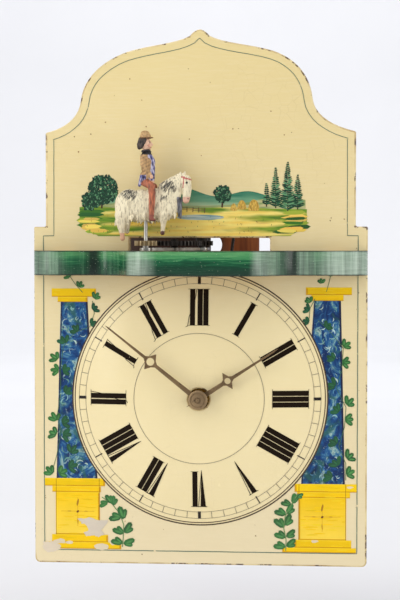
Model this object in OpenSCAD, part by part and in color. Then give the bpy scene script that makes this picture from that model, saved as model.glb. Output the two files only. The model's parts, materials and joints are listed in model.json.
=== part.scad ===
// Lacquered shield wall clock with a rider figure that swings in a gallery above the dial.
// Front view faces -Y. Shapes are drawn about the hand arbor and then moved to the hanging hole.

/* [Shield] */
// Width of the shield below the side steps
shield_w = 238; // [220:1:260]
// Thickness of the shield board
shield_t = 9; // [7:0.5:12]
// Width of the shield above the side steps
head_w = 221; // [205:1:230]
// Depth of the bottom edge below the hand arbor
foot_drop = 120; // [118:1:130]
// Height of the side steps above the hand arbor
step_rise = 122; // [118:1:140]
// Height of the shoulders above the hand arbor
shoulder_rise = 189; // [175:1:200]
// Width of the head where its hollow curves end
neck_w = 165; // [150:1:180]
// Height of the neck above the shoulders
neck_rise = 23; // [18:1:30]
// Shift of the hand-sawn neck to the left
neck_lean = 2.5; // [0:0.5:4]
// Width between the turning points of the crown
crown_w = 104; // [90:1:120]
// Height of the crown's turning points above the shoulders
crown_rise = 57; // [48:1:62]
// Height of the tip above the shoulders
tip_rise = 72.5; // [68:0.5:85]
// Radius of the bottom corners
corner_r = 3.5; // [1:0.5:8]

/* [Dial] */
// Radius of the domed dial
dial_r = 92; // [86:1:96]
// Height of the dome above the board
dome_rise = 9; // [5:0.5:12]
// Radius of the hole for the hand pipes
centre_hole_r = 7.5; // [5.5:0.25:8]

/* [Gallery] */
// Width of the slot behind the rider
slot_w = 100; // [94:1:104]
// Height of the slot
slot_h = 15; // [13:0.5:18]
// Height of the gallery rail
rail_h = 17.5; // [15:0.5:20]
// Thickness of the gallery rail
rail_t = 2.5; // [2:0.25:4]
// Width of the bow in the middle of the rail
bow_w = 140; // [130:1:150]
// Depth of the bow in front of the board
bow_d = 43; // [42:0.5:50]
// Depth of the rounded wings of the rail
wing_d = 16; // [12:0.5:20]
// Depth of the creases between the bow and the wings
crease_d = 11; // [9:0.5:14]
// Thickness of the gallery floor
floor_t = 3; // [2:0.5:4]

/* [Case] */
// Width of the case over the doors
case_w = 130; // [120:1:140]
// Thickness of the top and bottom boards
board_t = 10; // [8:0.5:12]
// Height of the case top above the hand arbor
case_rise = 98; // [96:0.5:100]
// Depth of the case bottom below the hand arbor
case_drop = 72; // [60:1:80]
// Width of the three movement bars
bar_w = 56; // [52:1:64]
// Thickness of the movement bars
bar_t = 9; // [8:0.5:12]
// Room for the motion work behind the shield
motion_room = 16; // [15.5:0.5:20]
// Room for the going train
going_room = 26; // [25:0.5:32]
// Room for the strike train
strike_room = 25; // [24.5:0.5:32]
// Room for the count wheel and the pendulum
pendulum_room = 11; // [10:0.5:16]
// Thickness of the back board
back_t = 9; // [8:0.5:12]
// Reach of the hanging crest to the left of its hole
crest_left = 64; // [30:1:65]
// Reach of the hanging crest to the right of its hole
crest_right = 38; // [30:1:60]
// Radius of the hanging hole
hang_r = 9; // [6:0.5:12]
// Wood left above and below the hanging hole
hang_wall = 8; // [6:0.5:12]

/* [Doors] */
// Thickness of the side doors
door_t = 6; // [5:0.5:8]
// Radius of the door pivot pins
door_pin_r = 1.5; // [1:0.1:2]
// Radius of the door knobs
knob_r = 5; // [3:0.5:7]

/* [Trains] */
// Thickness of the train wheels
wheel_t = 1.6; // [1.2:0.1:2]
// Teeth of the going great wheel
great_teeth = 60; // [56:2:64]
// Module of the going great wheel
great_module = 0.9; // [0.85:0.01:0.92]
// Teeth of the second wheel and of the pin wheel
second_teeth = 60; // [56:2:60]
// Module of the second wheel and of the pin wheel
second_module = 0.78; // [0.74:0.01:0.79]
// Pins of the going lantern pinions and of the fly pinion
pinion_pins = 6; // [6:1:7]
// Teeth of the strike great wheel, one for each blow in twelve hours
strike_teeth = 78; // [72:1:80]
// Module of the strike great wheel
strike_module = 0.7; // [0.68:0.01:0.72]
// Pins of the strike lantern pinion
strike_pins = 8; // [7:1:8]
// Radius of the pins in the lantern pinions
pin_r = 0.4; // [0.3:0.05:0.45]
// Teeth of the escape wheel
escape_teeth = 42; // [36:2:48]
// Radius of the escape wheel
escape_r = 16; // [14:0.5:16]
// Radius of the plain arbors
arbor_r = 1.5; // [1.2:0.1:1.8]
// Radius of the great arbors
great_arbor_r = 2; // [1.8:0.1:2.4]
// Radius of the brass pivot bushes
bush_r = 4; // [3.5:0.25:5]
// Radius of the chain sprockets at the rims
sprocket_r = 13; // [11:0.5:15]
// Width of the chain sprockets
sprocket_w = 8; // [6:0.5:8.5]

/* [Motion work] */
// Module of the motion work wheels
motion_module = 0.48; // [0.46:0.01:0.5]
// Teeth of the cannon pinion
cannon_teeth = 20; // [18:1:22]
// Teeth of the minute wheel
minute_teeth = 60; // [58:2:62]
// Teeth of the pinion on the minute wheel
change_teeth = 16; // [15:1:17]
// Wall of the cannon tube and of the hour pipe
tube_wall = 0.9; // [0.7:0.1:1.1]

/* [Hands] */
// Length of the minute hand from the arbor to its tip
minute_hand_l = 84; // [70:1:86]
// Length of the hour hand from the arbor to its tip
hour_hand_l = 67; // [55:1:72]
// Distance of the minute hand's star from the arbor
minute_star = 43; // [35:1:50]
// Distance of the hour hand's star from the arbor
hour_star = 24.5; // [20:0.5:35]
// Thickness of the hands
hand_t = 1.2; // [0.8:0.1:1.6]
// Room between the dial, the hour hand and the minute hand
hand_gap = 2.5; // [2:0.25:4]
// Radius of the round collet on the hands
collet_r = 6.8; // [5:0.2:8]
// Minute hand at rest, in degrees clockwise from twelve
minute_angle = -51.5; // [-180:0.5:180]
// Hour hand at rest, in degrees clockwise from twelve
hour_angle = 57.3; // [-180:0.5:180]

/* [Pendulum] */
// Distance from the anchor arbor to the middle of the bob
pendulum_l = 178; // [170:1:180]
// Radius of the pendulum bob
bob_r = 12; // [9:0.5:13]
// Thickness of the pendulum bob
bob_t = 7; // [5:0.5:8]
// Swing of the pendulum to each side in degrees
pendulum_swing = 5; // [3:0.5:6]

/* [Bell] */
// Radius of the bell at its mouth
bell_r = 33; // [30:0.5:36]
// Height of the bell
bell_h = 28; // [22:1:32]
// Wall of the bell
bell_wall = 2; // [1.5:0.25:3]
// Height of the bell's mouth above the case
bell_lift = 42; // [38:1:60]
// Radius of the bell post
bell_post_r = 2.5; // [2:0.25:3]
// Radius of the hammer head
hammer_r = 4.5; // [3.5:0.25:5.5]

/* [Rider drive] */
// Module of the rider wheels
rider_module = 0.9; // [0.86:0.01:0.92]
// Teeth of the fixed wheel and of the rider's wheel
sun_teeth = 16; // [16:2:18]
// Teeth of the idler wheel between them
idler_teeth = 42; // [40:2:42]
// Swing of the arm to each side in degrees
arm_swing = 45; // [35:1:46]
// Thickness of the arm
arm_t = 2; // [1.5:0.25:2.5]
// Thickness of the rider wheels
rider_wheel_t = 3.4; // [2.5:0.1:3.6]
// Distance of the arm's pivot behind the shield
pivot_y = 14; // [11:0.5:15]
// Radius of the pivot stud
stud_r = 2.5; // [2:0.25:3]
// Radius of the rider's post and of the idler pin
post_r = 1.4; // [1.2:0.1:1.8]

/* [Figure] */
// Thickness of the horse
horse_t = 9; // [7:0.5:11]
// Thickness of each leg of the rider
leg_t = 2.2; // [1.5:0.1:3]
// Height of the horse's girth above the case top
girth_rise = 26; // [24:0.5:30]

/* [Clearances] */
// Radial running clearance of pivots
running = 0.05; // [0.03:0.01:0.08]
// Radial gap of fixed fits
fixed_gap = 0.02; // [0.01:0.005:0.03]
// Backlash of the wheels
backlash = 0.12; // [0.1:0.01:0.15]
// Gap between parts that move past each other
free_gap = 0.4; // [0.3:0.05:0.6]

/* [Hidden] */
$fn = 48;

// Stations from the back of the shield to the wall
front_y = motion_room;
going_y = front_y + bar_t;
middle_y = going_y + going_room;
strike_y = middle_y + bar_t;
rear_y = strike_y + strike_room;
pendulum_y = rear_y + bar_t;
back_y = pendulum_y + pendulum_room;
wall_y = back_y + back_t;
face_y = -shield_t;
dome_y = face_y - dome_rise;

// Heights of the case
case_top = case_rise;
inner_top = case_top - board_t;
case_low = -case_drop;
inner_low = case_low + board_t;
hang_z = case_top + hang_wall / 4 + hang_r;
crest_top = hang_z + hang_r + hang_wall;

// Train arbors, one above the other
second_z = great_module * (great_teeth + pinion_pins) / 2;
escape_z = second_z + second_module * (second_teeth + pinion_pins) / 2;
anchor_reach = escape_r * 1.41;
anchor_z = escape_z + anchor_reach;
pin_z = strike_module * (strike_teeth + strike_pins) / 2;
fly_z = pin_z + second_module * (second_teeth + pinion_pins) / 2;
pin_pitch_r = pin_r + backlash;
lift_pin_r = 0.8;

// Planes of the going train
great_y = going_y + 4;
going_sprocket_y = great_y + wheel_t + 2.4;
second_y = middle_y - 6;
escape_y = going_y + 11;
anchor_t = 3.4;
escape_t = 1.2;

// Planes of the strike train
strike_wheel_y = strike_y + 4;
strike_sprocket_y = strike_wheel_y + wheel_t + 2.4;
pin_wheel_y = rear_y - 5;
count_y = pendulum_y + 1;
rod_y = back_y - 4;
rod_r = 1;
lantern_room = 1.6;
lantern_cap_t = 1.1;

// Hammer arbor beside the fly
hammer_x = 14;
hammer_z = fly_z + 14;
hammer_y = strike_y + strike_room / 2 - 1;
wire_r = 1.2;
bell_y = hammer_y;
mouth_z = case_top + bell_lift;
bell_top = mouth_z + bell_h;

// Motion work
change_x = motion_module * (cannon_teeth + minute_teeth) / 2;
hour_teeth = cannon_teeth + minute_teeth - change_teeth;
cannon_y = motion_room - 5.5;
cannon_t = 4;
minute_wheel_t = 2;
hour_y = 4;
cannon_r = great_arbor_r + running + tube_wall;
pipe_r = cannon_r + running + tube_wall;
hour_hand_y = dome_y - hand_gap - hand_t;
minute_hand_y = hour_hand_y - hand_gap - hand_t;
collet_t = 2.2;
star_r = 6.8;

// Slot and gallery
arm_z = case_top + 7;
arm_top = arm_z + arm_t;
gear_z = arm_top + 1.5;
gear_top = gear_z + rider_wheel_t;
slot_low = case_top + 1;
rail_top = case_top + 7;
rail_low = rail_top - rail_h;
floor_z = rail_low + 4;

// Rider drive
sun_r = rider_module * sun_teeth / 2;
idler_r = rider_module * idler_teeth / 2;
idler_l = sun_r + idler_r;
arm_l = 2 * idler_l;
post_x = -arm_l * sin(arm_swing);
post_y = pivot_y - arm_l * cos(arm_swing);
girth_z = case_top + girth_rise;

// Doors
door_axis_y = back_y - door_t;
door_axis_x = case_w / 2 - door_t / 2;
door_front_y = 3;
door_pin_l = 6;
knob_l = 10;

// Points and outlines
function pol(r, a) = [r * cos(a), r * sin(a)];
function arc(c, r, a0, a1, n) = [for (i = [0:n]) c + pol(r, a0 + (a1 - a0) * i / n)];
function flipped(p) = [for (i = [len(p) - 1:-1:0]) [-p[i][0], p[i][1]]];
function turned(p, a) = [p[0] * cos(a) - p[1] * sin(a), p[0] * sin(a) + p[1] * cos(a)];
function mirrored(p, a) = pol(norm(p), 2 * a - atan2(p[1], p[0]));
function reversed(p) = [for (i = [len(p) - 1:-1:0]) p[i]];
function inv(a) = tan(a) * 180 / PI - a;

// One point of a smooth closed curve through p, at share t after point i
function curve_at(p, i, t) = let (
    n = len(p),
    a = p[(i + n - 1) % n],
    b = p[i],
    c = p[(i + 1) % n],
    d = p[(i + 2) % n]
  ) 0.5 * (2 * b + (c - a) * t + (2 * a - 5 * b + 4 * c - d) * t * t + (3 * b - a - 3 * c + d) * t * t * t);
function curve(p, n) = [for (i = [0:len(p) - 1]) for (k = [0:n - 1]) curve_at(p, i, k / n)];

// Flank of a wheel tooth that drives round pins, for a gap centred on angle 0
function pin_flank_at(big, small, gap, t) = let (
    psi = t * small / big,
    p = pol(big + small, psi) - pol(small, psi + t),
    c = pol(big, psi)
  ) p + gap * (c - p) / norm(c - p);
function pin_tooth(teeth, pins, module_mm, gap) = let (
    big = teeth * module_mm / 2,
    small = pins * module_mm / 2,
    last = 0.8 * 360 / pins,
    flank = concat([[big - gap - backlash, gap], [big, gap]],
      [for (t = [last / 2, last]) pin_flank_at(big, small, gap, t)])
  ) concat(flank, [for (p = reversed(flank)) mirrored(p, 180 / teeth)]);
function pin_wheel_points(teeth, pins, module_mm, gap) =
  [for (k = [0:teeth - 1]) for (p = pin_tooth(teeth, pins, module_mm, gap)) turned(p, k * 360 / teeth)];

// Tooth with involute flanks, centred on angle 0
function gear_half(teeth, module_mm, r) = let (
    pitch_r = teeth * module_mm / 2,
    base_r = pitch_r * cos(20),
    lean = acos(min(1, base_r / r))
  ) 90 / teeth - backlash / 2 / pitch_r * 180 / PI + inv(20) - inv(lean);
function gear_tooth(teeth, module_mm) = let (
    pitch_r = teeth * module_mm / 2,
    base_r = pitch_r * cos(20),
    root_r = pitch_r - 1.2 * module_mm,
    tip_r = pitch_r + 0.85 * module_mm,
    low_r = max(base_r, root_r),
    side = [for (r = [low_r, (low_r + tip_r) / 2, tip_r]) pol(r, -gear_half(teeth, module_mm, r))],
    half = concat([pol(root_r, -gear_half(teeth, module_mm, low_r))], side)
  ) concat(half, [for (p = reversed(half)) [p[0], -p[1]]]);
function gear_points(teeth, module_mm) =
  [for (k = [0:teeth - 1]) for (p = gear_tooth(teeth, module_mm)) turned(p, k * 360 / teeth)];

// Points of a cubic curve from a to d with its pulls b and c, without the last point
function bezier(a, b, c, d, n) = [for (i = [0:n - 1]) let (t = i / n, u = 1 - t)
  u * u * u * a + 3 * u * u * t * b + 3 * u * t * t * c + t * t * t * d];

// Right half of the shield from the bottom to the tip, with its neck moved outwards
shoulder = [head_w / 2, shoulder_rise];
crown = [crown_w / 2, shoulder_rise + crown_rise];
tip_foot = [7, shoulder_rise + tip_rise - 4.5];
tip = [0, shoulder_rise + tip_rise];
function shield_half(out) = let (neck = [neck_w / 2 + out, shoulder_rise + neck_rise]) concat(
  arc([shield_w / 2 - corner_r, -foot_drop + corner_r], corner_r, -90, 0, 6),
  [[shield_w / 2, step_rise], [head_w / 2, step_rise]],
  bezier(shoulder, shoulder + [-13.5, 3], neck + [1.5, -13], neck, 10),
  bezier(neck, neck + [-2, 17], crown + [16, -5.5], crown, 12),
  bezier(crown, crown + [-16, 5], tip_foot + [10, -5.5], tip_foot, 8),
  bezier(tip_foot, tip_foot + [-2.5, 3], tip + [2, 0], tip, 4),
  [tip]);

// Front line of the gallery rail from the right end of the shield to the middle, as depths
rail_points = [[shield_w / 2, 0], [shield_w / 2 - 3, wing_d * 0.45], [shield_w / 2 - 12, wing_d * 0.88],
  [shield_w / 2 - 25, wing_d], [bow_w / 2 + 11, (wing_d + crease_d) * 0.54], [bow_w / 2, crease_d],
  [bow_w / 2 - 8, crease_d + 4], [bow_w / 2 - 16, bow_d * 0.54], [bow_w / 2 - 23, bow_d * 0.78],
  [bow_w / 2 - 32, bow_d * 0.94], [bow_w / 2 - 45, bow_d * 0.985], [0, bow_d]];
rail_right = [for (i = [0:len(rail_points) - 2]) for (k = [0:3]) curve_at(
  concat([rail_points[0] - [0, 6]], rail_points, [[-25, bow_d * 0.985]]), i + 1, k / 4)];
rail_line = concat(rail_right, [[0, bow_d]], [for (p = reversed(rail_right)) [-p[0], p[1]]]);
function inset_line(p, d) = [for (i = [0:len(p) - 1]) let (
    a = p[max(0, i - 1)],
    b = p[min(len(p) - 1, i + 1)],
    along = (b - a) / norm(b - a)
  ) p[i] + d * [-along[1], along[0]]];

// Layout helpers
module in_place() { translate([0, -wall_y, -hang_z]) children(); }
module plate(y0, y1) { translate([0, y1, 0]) rotate([90, 0, 0]) linear_extrude(y1 - y0) children(); }
module rod(x, z, r, y0, y1) { translate([x, y1, z]) rotate([90, 0, 0]) cylinder(r = r, h = y1 - y0); }
module post(x, y, r, z0, z1) { translate([x, y, z0]) cylinder(r = r, h = z1 - z0); }
module box(x0, x1, y0, y1, z0, z1) { translate([x0, y0, z0]) cube([x1 - x0, y1 - y0, z1 - z0]); }

// Wheel with five arms between its rim and its hub
module crossings(rim_r, hub_r, arm_w) {
  difference() {
    circle(r = rim_r);
    circle(r = hub_r);
    for (a = [0:72:288]) rotate(a) translate([0, -arm_w / 2]) square([rim_r + 1, arm_w]);
  }
}
module crossed_wheel(points, rim_r, hub_r, bore_r, arm_w) {
  difference() {
    polygon(points);
    crossings(rim_r, hub_r, arm_w);
    circle(r = bore_r);
  }
}

// Lantern pinion with one pin straight below its axis
module lantern(z, pins, module_mm, y0, y1) {
  pitch_r = pins * module_mm / 2;
  cap_r = pitch_r + pin_r + 0.7;
  rod(0, z, cap_r, y0 - lantern_cap_t, y0);
  rod(0, z, cap_r, y1, y1 + lantern_cap_t);
  for (k = [0:pins - 1]) {
    p = pol(pitch_r, -90 + k * 360 / pins);
    rod(p[0], z + p[1], pin_r, y0 - lantern_cap_t / 2, y1 + lantern_cap_t / 2);
  }
}

// Sprocket with a grooved rim and short studs that grip the chain
module sprocket(y0) {
  difference() {
    union() {
      rod(0, 0, sprocket_r, y0, y0 + sprocket_w / 4);
      rod(0, 0, sprocket_r - 4, y0, y0 + sprocket_w);
      rod(0, 0, sprocket_r, y0 + sprocket_w * 3 / 4, y0 + sprocket_w);
      for (a = [0:45:315]) translate([0, y0 + sprocket_w / 2, 0]) rotate([0, a, 0])
        cylinder(r = 0.8, h = sprocket_r - 1);
    }
    rod(0, 0, great_arbor_r + fixed_gap, y0 - 1, y0 + sprocket_w + 1);
  }
}

// Shield and gallery
module shield() {
  dome_r = (dial_r * dial_r + dome_rise * dome_rise) / (2 * dome_rise);
  dome_a = acos(dial_r / dome_r);
  color("ivory") in_place() difference() {
    union() {
      plate(face_y, 0) polygon(concat(shield_half(-neck_lean), flipped(shield_half(neck_lean))));
      translate([0, face_y, 0]) rotate([90, 0, 0]) rotate_extrude($fn = 180)
        polygon(concat(arc([0, dome_rise - dome_r], dome_r, dome_a, 90, 20), [[0, -1], [dial_r, -1]]));
    }
    rod(0, 0, centre_hole_r, dome_y - 2, 1);
    box(-slot_w / 2, slot_w / 2, face_y - 1, 1, slot_low, slot_low + slot_h);
  }
}
block_w = 12;
block_d = 14;
module shield_blocks() {
  color("burlywood") in_place() for (side = [-1, 1]) {
    translate([side * (case_w - block_w - 2) / 2, 0, 0]) {
      box(-block_w / 2, block_w / 2, 0, block_d, case_top, case_top + block_d);
      box(-block_w / 2, block_w / 2, 0, block_d, case_low - block_d, case_low);
    }
  }
}
// Plan of the gallery between the board and the rail's line, inset from the rail's outer face
module gallery_plan(inset) {
  intersection() {
    polygon([for (p = inset_line(rail_line, inset)) [p[0], -p[1]]]);
    translate([-shield_w / 2, -bow_d]) square([shield_w, bow_d]);
  }
}
module gallery_rail() {
  color("seagreen") in_place() translate([0, face_y, rail_low]) linear_extrude(rail_h) difference() {
    gallery_plan(0);
    gallery_plan(rail_t);
  }
}
// The floor stays off the dial's dome where the dome rises above the floor's lower face
floor_back = dome_rise / 10;
module gallery_floor() {
  color("peru") in_place() difference() {
    translate([0, face_y, floor_z]) linear_extrude(floor_t) gallery_plan(rail_t + fixed_gap);
    rod(0, 0, dial_r + free_gap, face_y - floor_back, face_y + 1);
  }
}
module gallery_blocks() {
  block_l = 18;
  block_t = wing_d / 2;
  color("burlywood") in_place() for (side = [-1, 1])
    translate([side * (shield_w / 2 - rail_t - 10 - block_l / 2), face_y, floor_z + floor_t])
      box(-block_l / 2, block_l / 2, -block_t, 0, 0, rail_top - floor_z - floor_t - 1);
}

// Case
rod_slot_x = (anchor_z - case_low) * tan(pendulum_swing) + rod_r + 2;
hammer_slot_x = hammer_x + 4;
module top_board() {
  color("saddlebrown") in_place() difference() {
    box(-case_w / 2, case_w / 2, 0, back_y, inner_top, case_top);
    box(hammer_slot_x - 6, hammer_slot_x + 6, hammer_y - 4, hammer_y + 4, inner_top - 1, case_top + 1);
    for (side = [-1, 1])
      post(side * door_axis_x, door_axis_y, door_pin_r + running,
        inner_top - 1, inner_top + door_pin_l + free_gap);
    post(0, pivot_y, stud_r + fixed_gap, case_top - board_t / 2, case_top + 1);
    post(0, bell_y, bell_post_r + fixed_gap, case_top - board_t / 2, case_top + 1);
  }
}
chain_hole_r = 3.5;
module bottom_board() {
  color("saddlebrown") in_place() difference() {
    box(-case_w / 2, case_w / 2, 0, back_y, case_low, inner_low);
    box(-rod_slot_x, rod_slot_x, rod_y - rod_r - 2, back_y + 1, case_low - 1, inner_low + 1);
    for (side = [-1, 1]) {
      post(side * door_axis_x, door_axis_y, door_pin_r + running,
        inner_low - door_pin_l - free_gap, inner_low + 1);
      for (y = [going_sprocket_y, strike_sprocket_y])
        post(side * (sprocket_r - 2), y + sprocket_w / 2, chain_hole_r, case_low - 1, inner_low + 1);
    }
  }
}
module bar(y0, holes) {
  difference() {
    box(-bar_w / 2, bar_w / 2, y0, y0 + bar_t, inner_low, inner_top);
    for (h = holes) rod(h[0], h[1], h[2], y0 - 1, y0 + bar_t + 1);
  }
}
hub_hole = bush_r + fixed_gap;
front_holes = [[0, 0, hub_hole], [0, second_z, hub_hole], [0, escape_z, hub_hole], [0, anchor_z, hub_hole]];
middle_holes = [[0, 0, hub_hole], [0, (second_z + pin_z) / 2, hub_hole + 1],
  [0, (escape_z + fly_z) / 2, hub_hole + 1], [0, anchor_z, hub_hole], [hammer_x, hammer_z, hub_hole]];
rear_holes = [[0, 0, hub_hole], [0, pin_z, hub_hole], [0, fly_z, hub_hole], [0, anchor_z, hub_hole],
  [hammer_x, hammer_z, hub_hole]];
module front_bar() {
  color("tan") in_place() difference() {
    bar(front_y, front_holes);
    rod(change_x, 0, arbor_r + fixed_gap, front_y - 1, front_y + bar_t / 2);
  }
}
module middle_bar() { color("tan") in_place() bar(middle_y, middle_holes); }
module rear_bar() { color("tan") in_place() bar(rear_y, rear_holes); }
module bush(x, z, outer_r, holes, y0) {
  difference() {
    rod(x, z, outer_r, y0, y0 + bar_t);
    for (h = holes) rod(h[0], h[1], h[2] + running, y0 + h[3] * bar_t - 1, y0 + h[4] * bar_t + 1);
  }
}
module front_bushes() {
  color("gold") in_place() {
    bush(0, 0, bush_r, [[0, 0, great_arbor_r, 0, 1]], front_y);
    for (z = [second_z, escape_z, anchor_z]) bush(0, z, bush_r, [[0, z, arbor_r, 0, 1]], front_y);
  }
}
module middle_bushes() {
  color("gold") in_place() {
    bush(0, 0, bush_r, [[0, 0, great_arbor_r, 0, 1]], middle_y);
    bush(0, middle_holes[1][1], bush_r + 1,
      [[0, second_z, arbor_r, 0, 0.3], [0, pin_z, arbor_r, 0.7, 1]], middle_y);
    bush(0, middle_holes[2][1], bush_r + 1,
      [[0, escape_z, arbor_r, 0, 0.3], [0, fly_z, arbor_r, 0.7, 1]], middle_y);
    bush(0, anchor_z, bush_r, [[0, anchor_z, arbor_r, 0, 1]], middle_y);
    bush(hammer_x, hammer_z, bush_r, [[hammer_x, hammer_z, arbor_r, 0, 1]], middle_y);
  }
}
module rear_bushes() {
  color("gold") in_place() {
    bush(0, 0, bush_r, [[0, 0, great_arbor_r, 0, 1]], rear_y);
    for (z = [pin_z, fly_z, anchor_z]) bush(0, z, bush_r, [[0, z, arbor_r, 0, 1]], rear_y);
    bush(hammer_x, hammer_z, bush_r, [[hammer_x, hammer_z, arbor_r, 0, 1]], rear_y);
  }
}
module back_board() {
  shoulder_r = 10;
  color("sienna") in_place() difference() {
    union() {
      box(-case_w / 2, case_w / 2, back_y, wall_y, case_low, case_top);
      box(-crest_left, crest_right, back_y, wall_y, case_top - 1, crest_top - shoulder_r);
      box(shoulder_r - crest_left, crest_right - shoulder_r, back_y, wall_y, case_top, crest_top);
      for (x = [shoulder_r - crest_left, crest_right - shoulder_r])
        rod(x, crest_top - shoulder_r, shoulder_r, back_y, wall_y);
    }
    rod(0, hang_z, hang_r, back_y - 1, wall_y + 1);
  }
}

// Doors swing on pins between the top and bottom boards
module door(side) {
  translate([side * door_axis_x, 0, 0]) {
    box(-door_t / 2, door_t / 2, door_front_y, door_axis_y + door_t / 2,
      inner_low + free_gap, inner_top - free_gap);
    post(0, door_axis_y, door_pin_r, inner_low - door_pin_l, inner_top + door_pin_l);
  }
}
module knob(side) {
  knob_x = side * case_w / 2;
  translate([knob_x, door_front_y + 10, (inner_top + inner_low) / 2]) rotate([0, side * 90, 0])
    rotate_extrude() polygon(concat([[0, 0], [knob_r * 0.6, 0], [knob_r * 0.5, knob_l / 2 - 1]],
      arc([knob_r * 0.4, knob_l - knob_r * 0.6], knob_r * 0.6, -45, 90, 8), [[0, knob_l]]));
}
module left_door() { color("sienna") in_place() door(-1); }
module right_door() { color("sienna") in_place() door(1); }
module left_knob() { color("black") in_place() knob(-1); }
module right_knob() { color("black") in_place() knob(1); }

// Bell on its post
bell_shoulder = bell_top - bell_wall;
module bell_post() {
  color("dimgray") in_place() union() {
    post(0, bell_y, bell_post_r, case_top - board_t / 2, bell_top + 4);
    post(0, bell_y, bell_post_r + 4, case_top, case_top + 3);
    post(0, bell_y, bell_post_r + 2, bell_shoulder - 4, bell_shoulder);
  }
}
function bell_side(r, h) = [for (i = [0:10]) [r * (0.22 + 0.78 * cos(i * 9)), h * sin(i * 9)]];
module bell() {
  outer = bell_side(bell_r, bell_h);
  inner = bell_side(bell_r - bell_wall, bell_h - bell_wall);
  color("darkgoldenrod") in_place() difference() {
    translate([0, bell_y, mouth_z]) rotate_extrude()
      polygon(concat(outer, [[0, bell_h], [0, bell_h - bell_wall]], reversed(inner)));
    post(0, bell_y, bell_post_r + fixed_gap, mouth_z, bell_top + 1);
  }
}
module bell_nut() {
  color("dimgray") in_place() difference() {
    post(0, bell_y, bell_post_r + 2.5, bell_top, bell_top + 3);
    post(0, bell_y, bell_post_r + fixed_gap, bell_top - 1, bell_top + 4);
  }
}

// Fixed parts of the rider drive
module rider_stud() {
  color("dimgray") in_place() union() {
    post(0, pivot_y, stud_r, case_top - board_t / 2, gear_top + 3);
    post(0, pivot_y, stud_r + 2.5, case_top, arm_z - free_gap);
  }
}
module toothed_wheel(teeth, bore_r, turn) {
  rotate(turn) linear_extrude(rider_wheel_t) difference() {
    polygon(gear_points(teeth, rider_module));
    circle(r = bore_r);
  }
}
arm_turn = -90 - arm_swing;
module sun_wheel() {
  color("goldenrod") in_place() translate([0, pivot_y, gear_z])
    toothed_wheel(sun_teeth, stud_r + fixed_gap, arm_turn);
}
module stud_nut() {
  color("dimgray") in_place() difference() {
    post(0, pivot_y, stud_r + 2, gear_top, gear_top + 2.5);
    post(0, pivot_y, stud_r + fixed_gap, gear_top - 1, gear_top + 4);
  }
}
module change_stud() {
  color("dimgray") in_place() union() {
    rod(change_x, 0, arbor_r, hour_y - 2.5, front_y + bar_t / 2);
    rod(change_x, 0, arbor_r + 1, cannon_y + 1 + minute_wheel_t + free_gap, front_y);
  }
}

// Going train
module great_arbor() {
  color("dimgray") in_place()
    rod(0, 0, great_arbor_r, minute_hand_y + free_gap, middle_y + bar_t / 2 - free_gap);
}
module great_wheel() {
  pitch_r = great_teeth * great_module / 2;
  color("goldenrod") in_place() plate(great_y, great_y + wheel_t) rotate(90)
    crossed_wheel(pin_wheel_points(great_teeth, pinion_pins, great_module, pin_pitch_r),
      pitch_r - 4.5, 8, great_arbor_r + fixed_gap, 4);
}
module going_sprocket() { color("goldenrod") in_place() sprocket(going_sprocket_y); }
module second_arbor() {
  color("dimgray") in_place() union() {
    rod(0, second_z, arbor_r, front_y + 1, middle_y + bar_t * 0.3);
    lantern(second_z, pinion_pins, great_module, great_y - lantern_room, great_y + wheel_t + lantern_room);
  }
}
module second_pattern() {
  pitch_r = second_teeth * second_module / 2;
  rotate(90) crossed_wheel(pin_wheel_points(second_teeth, pinion_pins, second_module, pin_pitch_r),
    pitch_r - 4, 6, arbor_r + fixed_gap, 3.5);
}
module second_wheel() {
  color("goldenrod") in_place() translate([0, 0, second_z])
    plate(second_y, second_y + wheel_t) second_pattern();
}
module escape_arbor() {
  color("dimgray") in_place() union() {
    rod(0, escape_z, arbor_r, front_y + 1, middle_y + bar_t * 0.3);
    lantern(escape_z, pinion_pins, second_module, second_y - lantern_room, second_y + wheel_t + lantern_room);
  }
}
module escape_wheel() {
  pitch = 360 / escape_teeth;
  root_r = escape_r - 2.6;
  points = [for (k = [0:escape_teeth - 1])
    for (p = [[root_r, 0], [escape_r, 0.5], [escape_r, 0.6], [root_r, 0.55]]) pol(p[0], (k + p[1]) * pitch)];
  color("goldenrod") in_place() translate([0, 0, escape_z]) plate(escape_y, escape_y + escape_t)
    crossed_wheel(points, root_r - 2, 4.5, arbor_r + fixed_gap, 2.5);
}
module anchor_arbor() {
  color("dimgray") in_place() rod(0, anchor_z, arbor_r, front_y + 1, rod_y + 3);
}
module anchor() {
  inner_r = escape_r + escape_r * sin(pendulum_swing) + free_gap + 0.2;
  arc_w = 3;
  anchor_y = escape_y + escape_t / 2 - anchor_t / 2;
  color("dimgray") in_place() plate(anchor_y, anchor_y + anchor_t)
    difference() {
      union() {
        translate([0, escape_z])
          polygon(concat(arc([0, 0], inner_r, 135, 45, 16), arc([0, 0], inner_r + arc_w, 45, 135, 16)));
        translate([0, anchor_z]) circle(r = arbor_r + 3);
      }
      translate([0, anchor_z]) circle(r = arbor_r + fixed_gap);
    }
}
bob_z = anchor_z - pendulum_l;
module pendulum_rod() {
  eye_r = arbor_r + 2;
  color("dimgray") in_place() difference() {
    union() {
      rod(0, anchor_z, eye_r, rod_y - rod_r, rod_y + rod_r);
      post(0, rod_y, rod_r, bob_z - bob_r - 3.5, anchor_z - arbor_r - 0.5);
    }
    rod(0, anchor_z, arbor_r + fixed_gap, rod_y - 3, rod_y + 3);
  }
}
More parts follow.
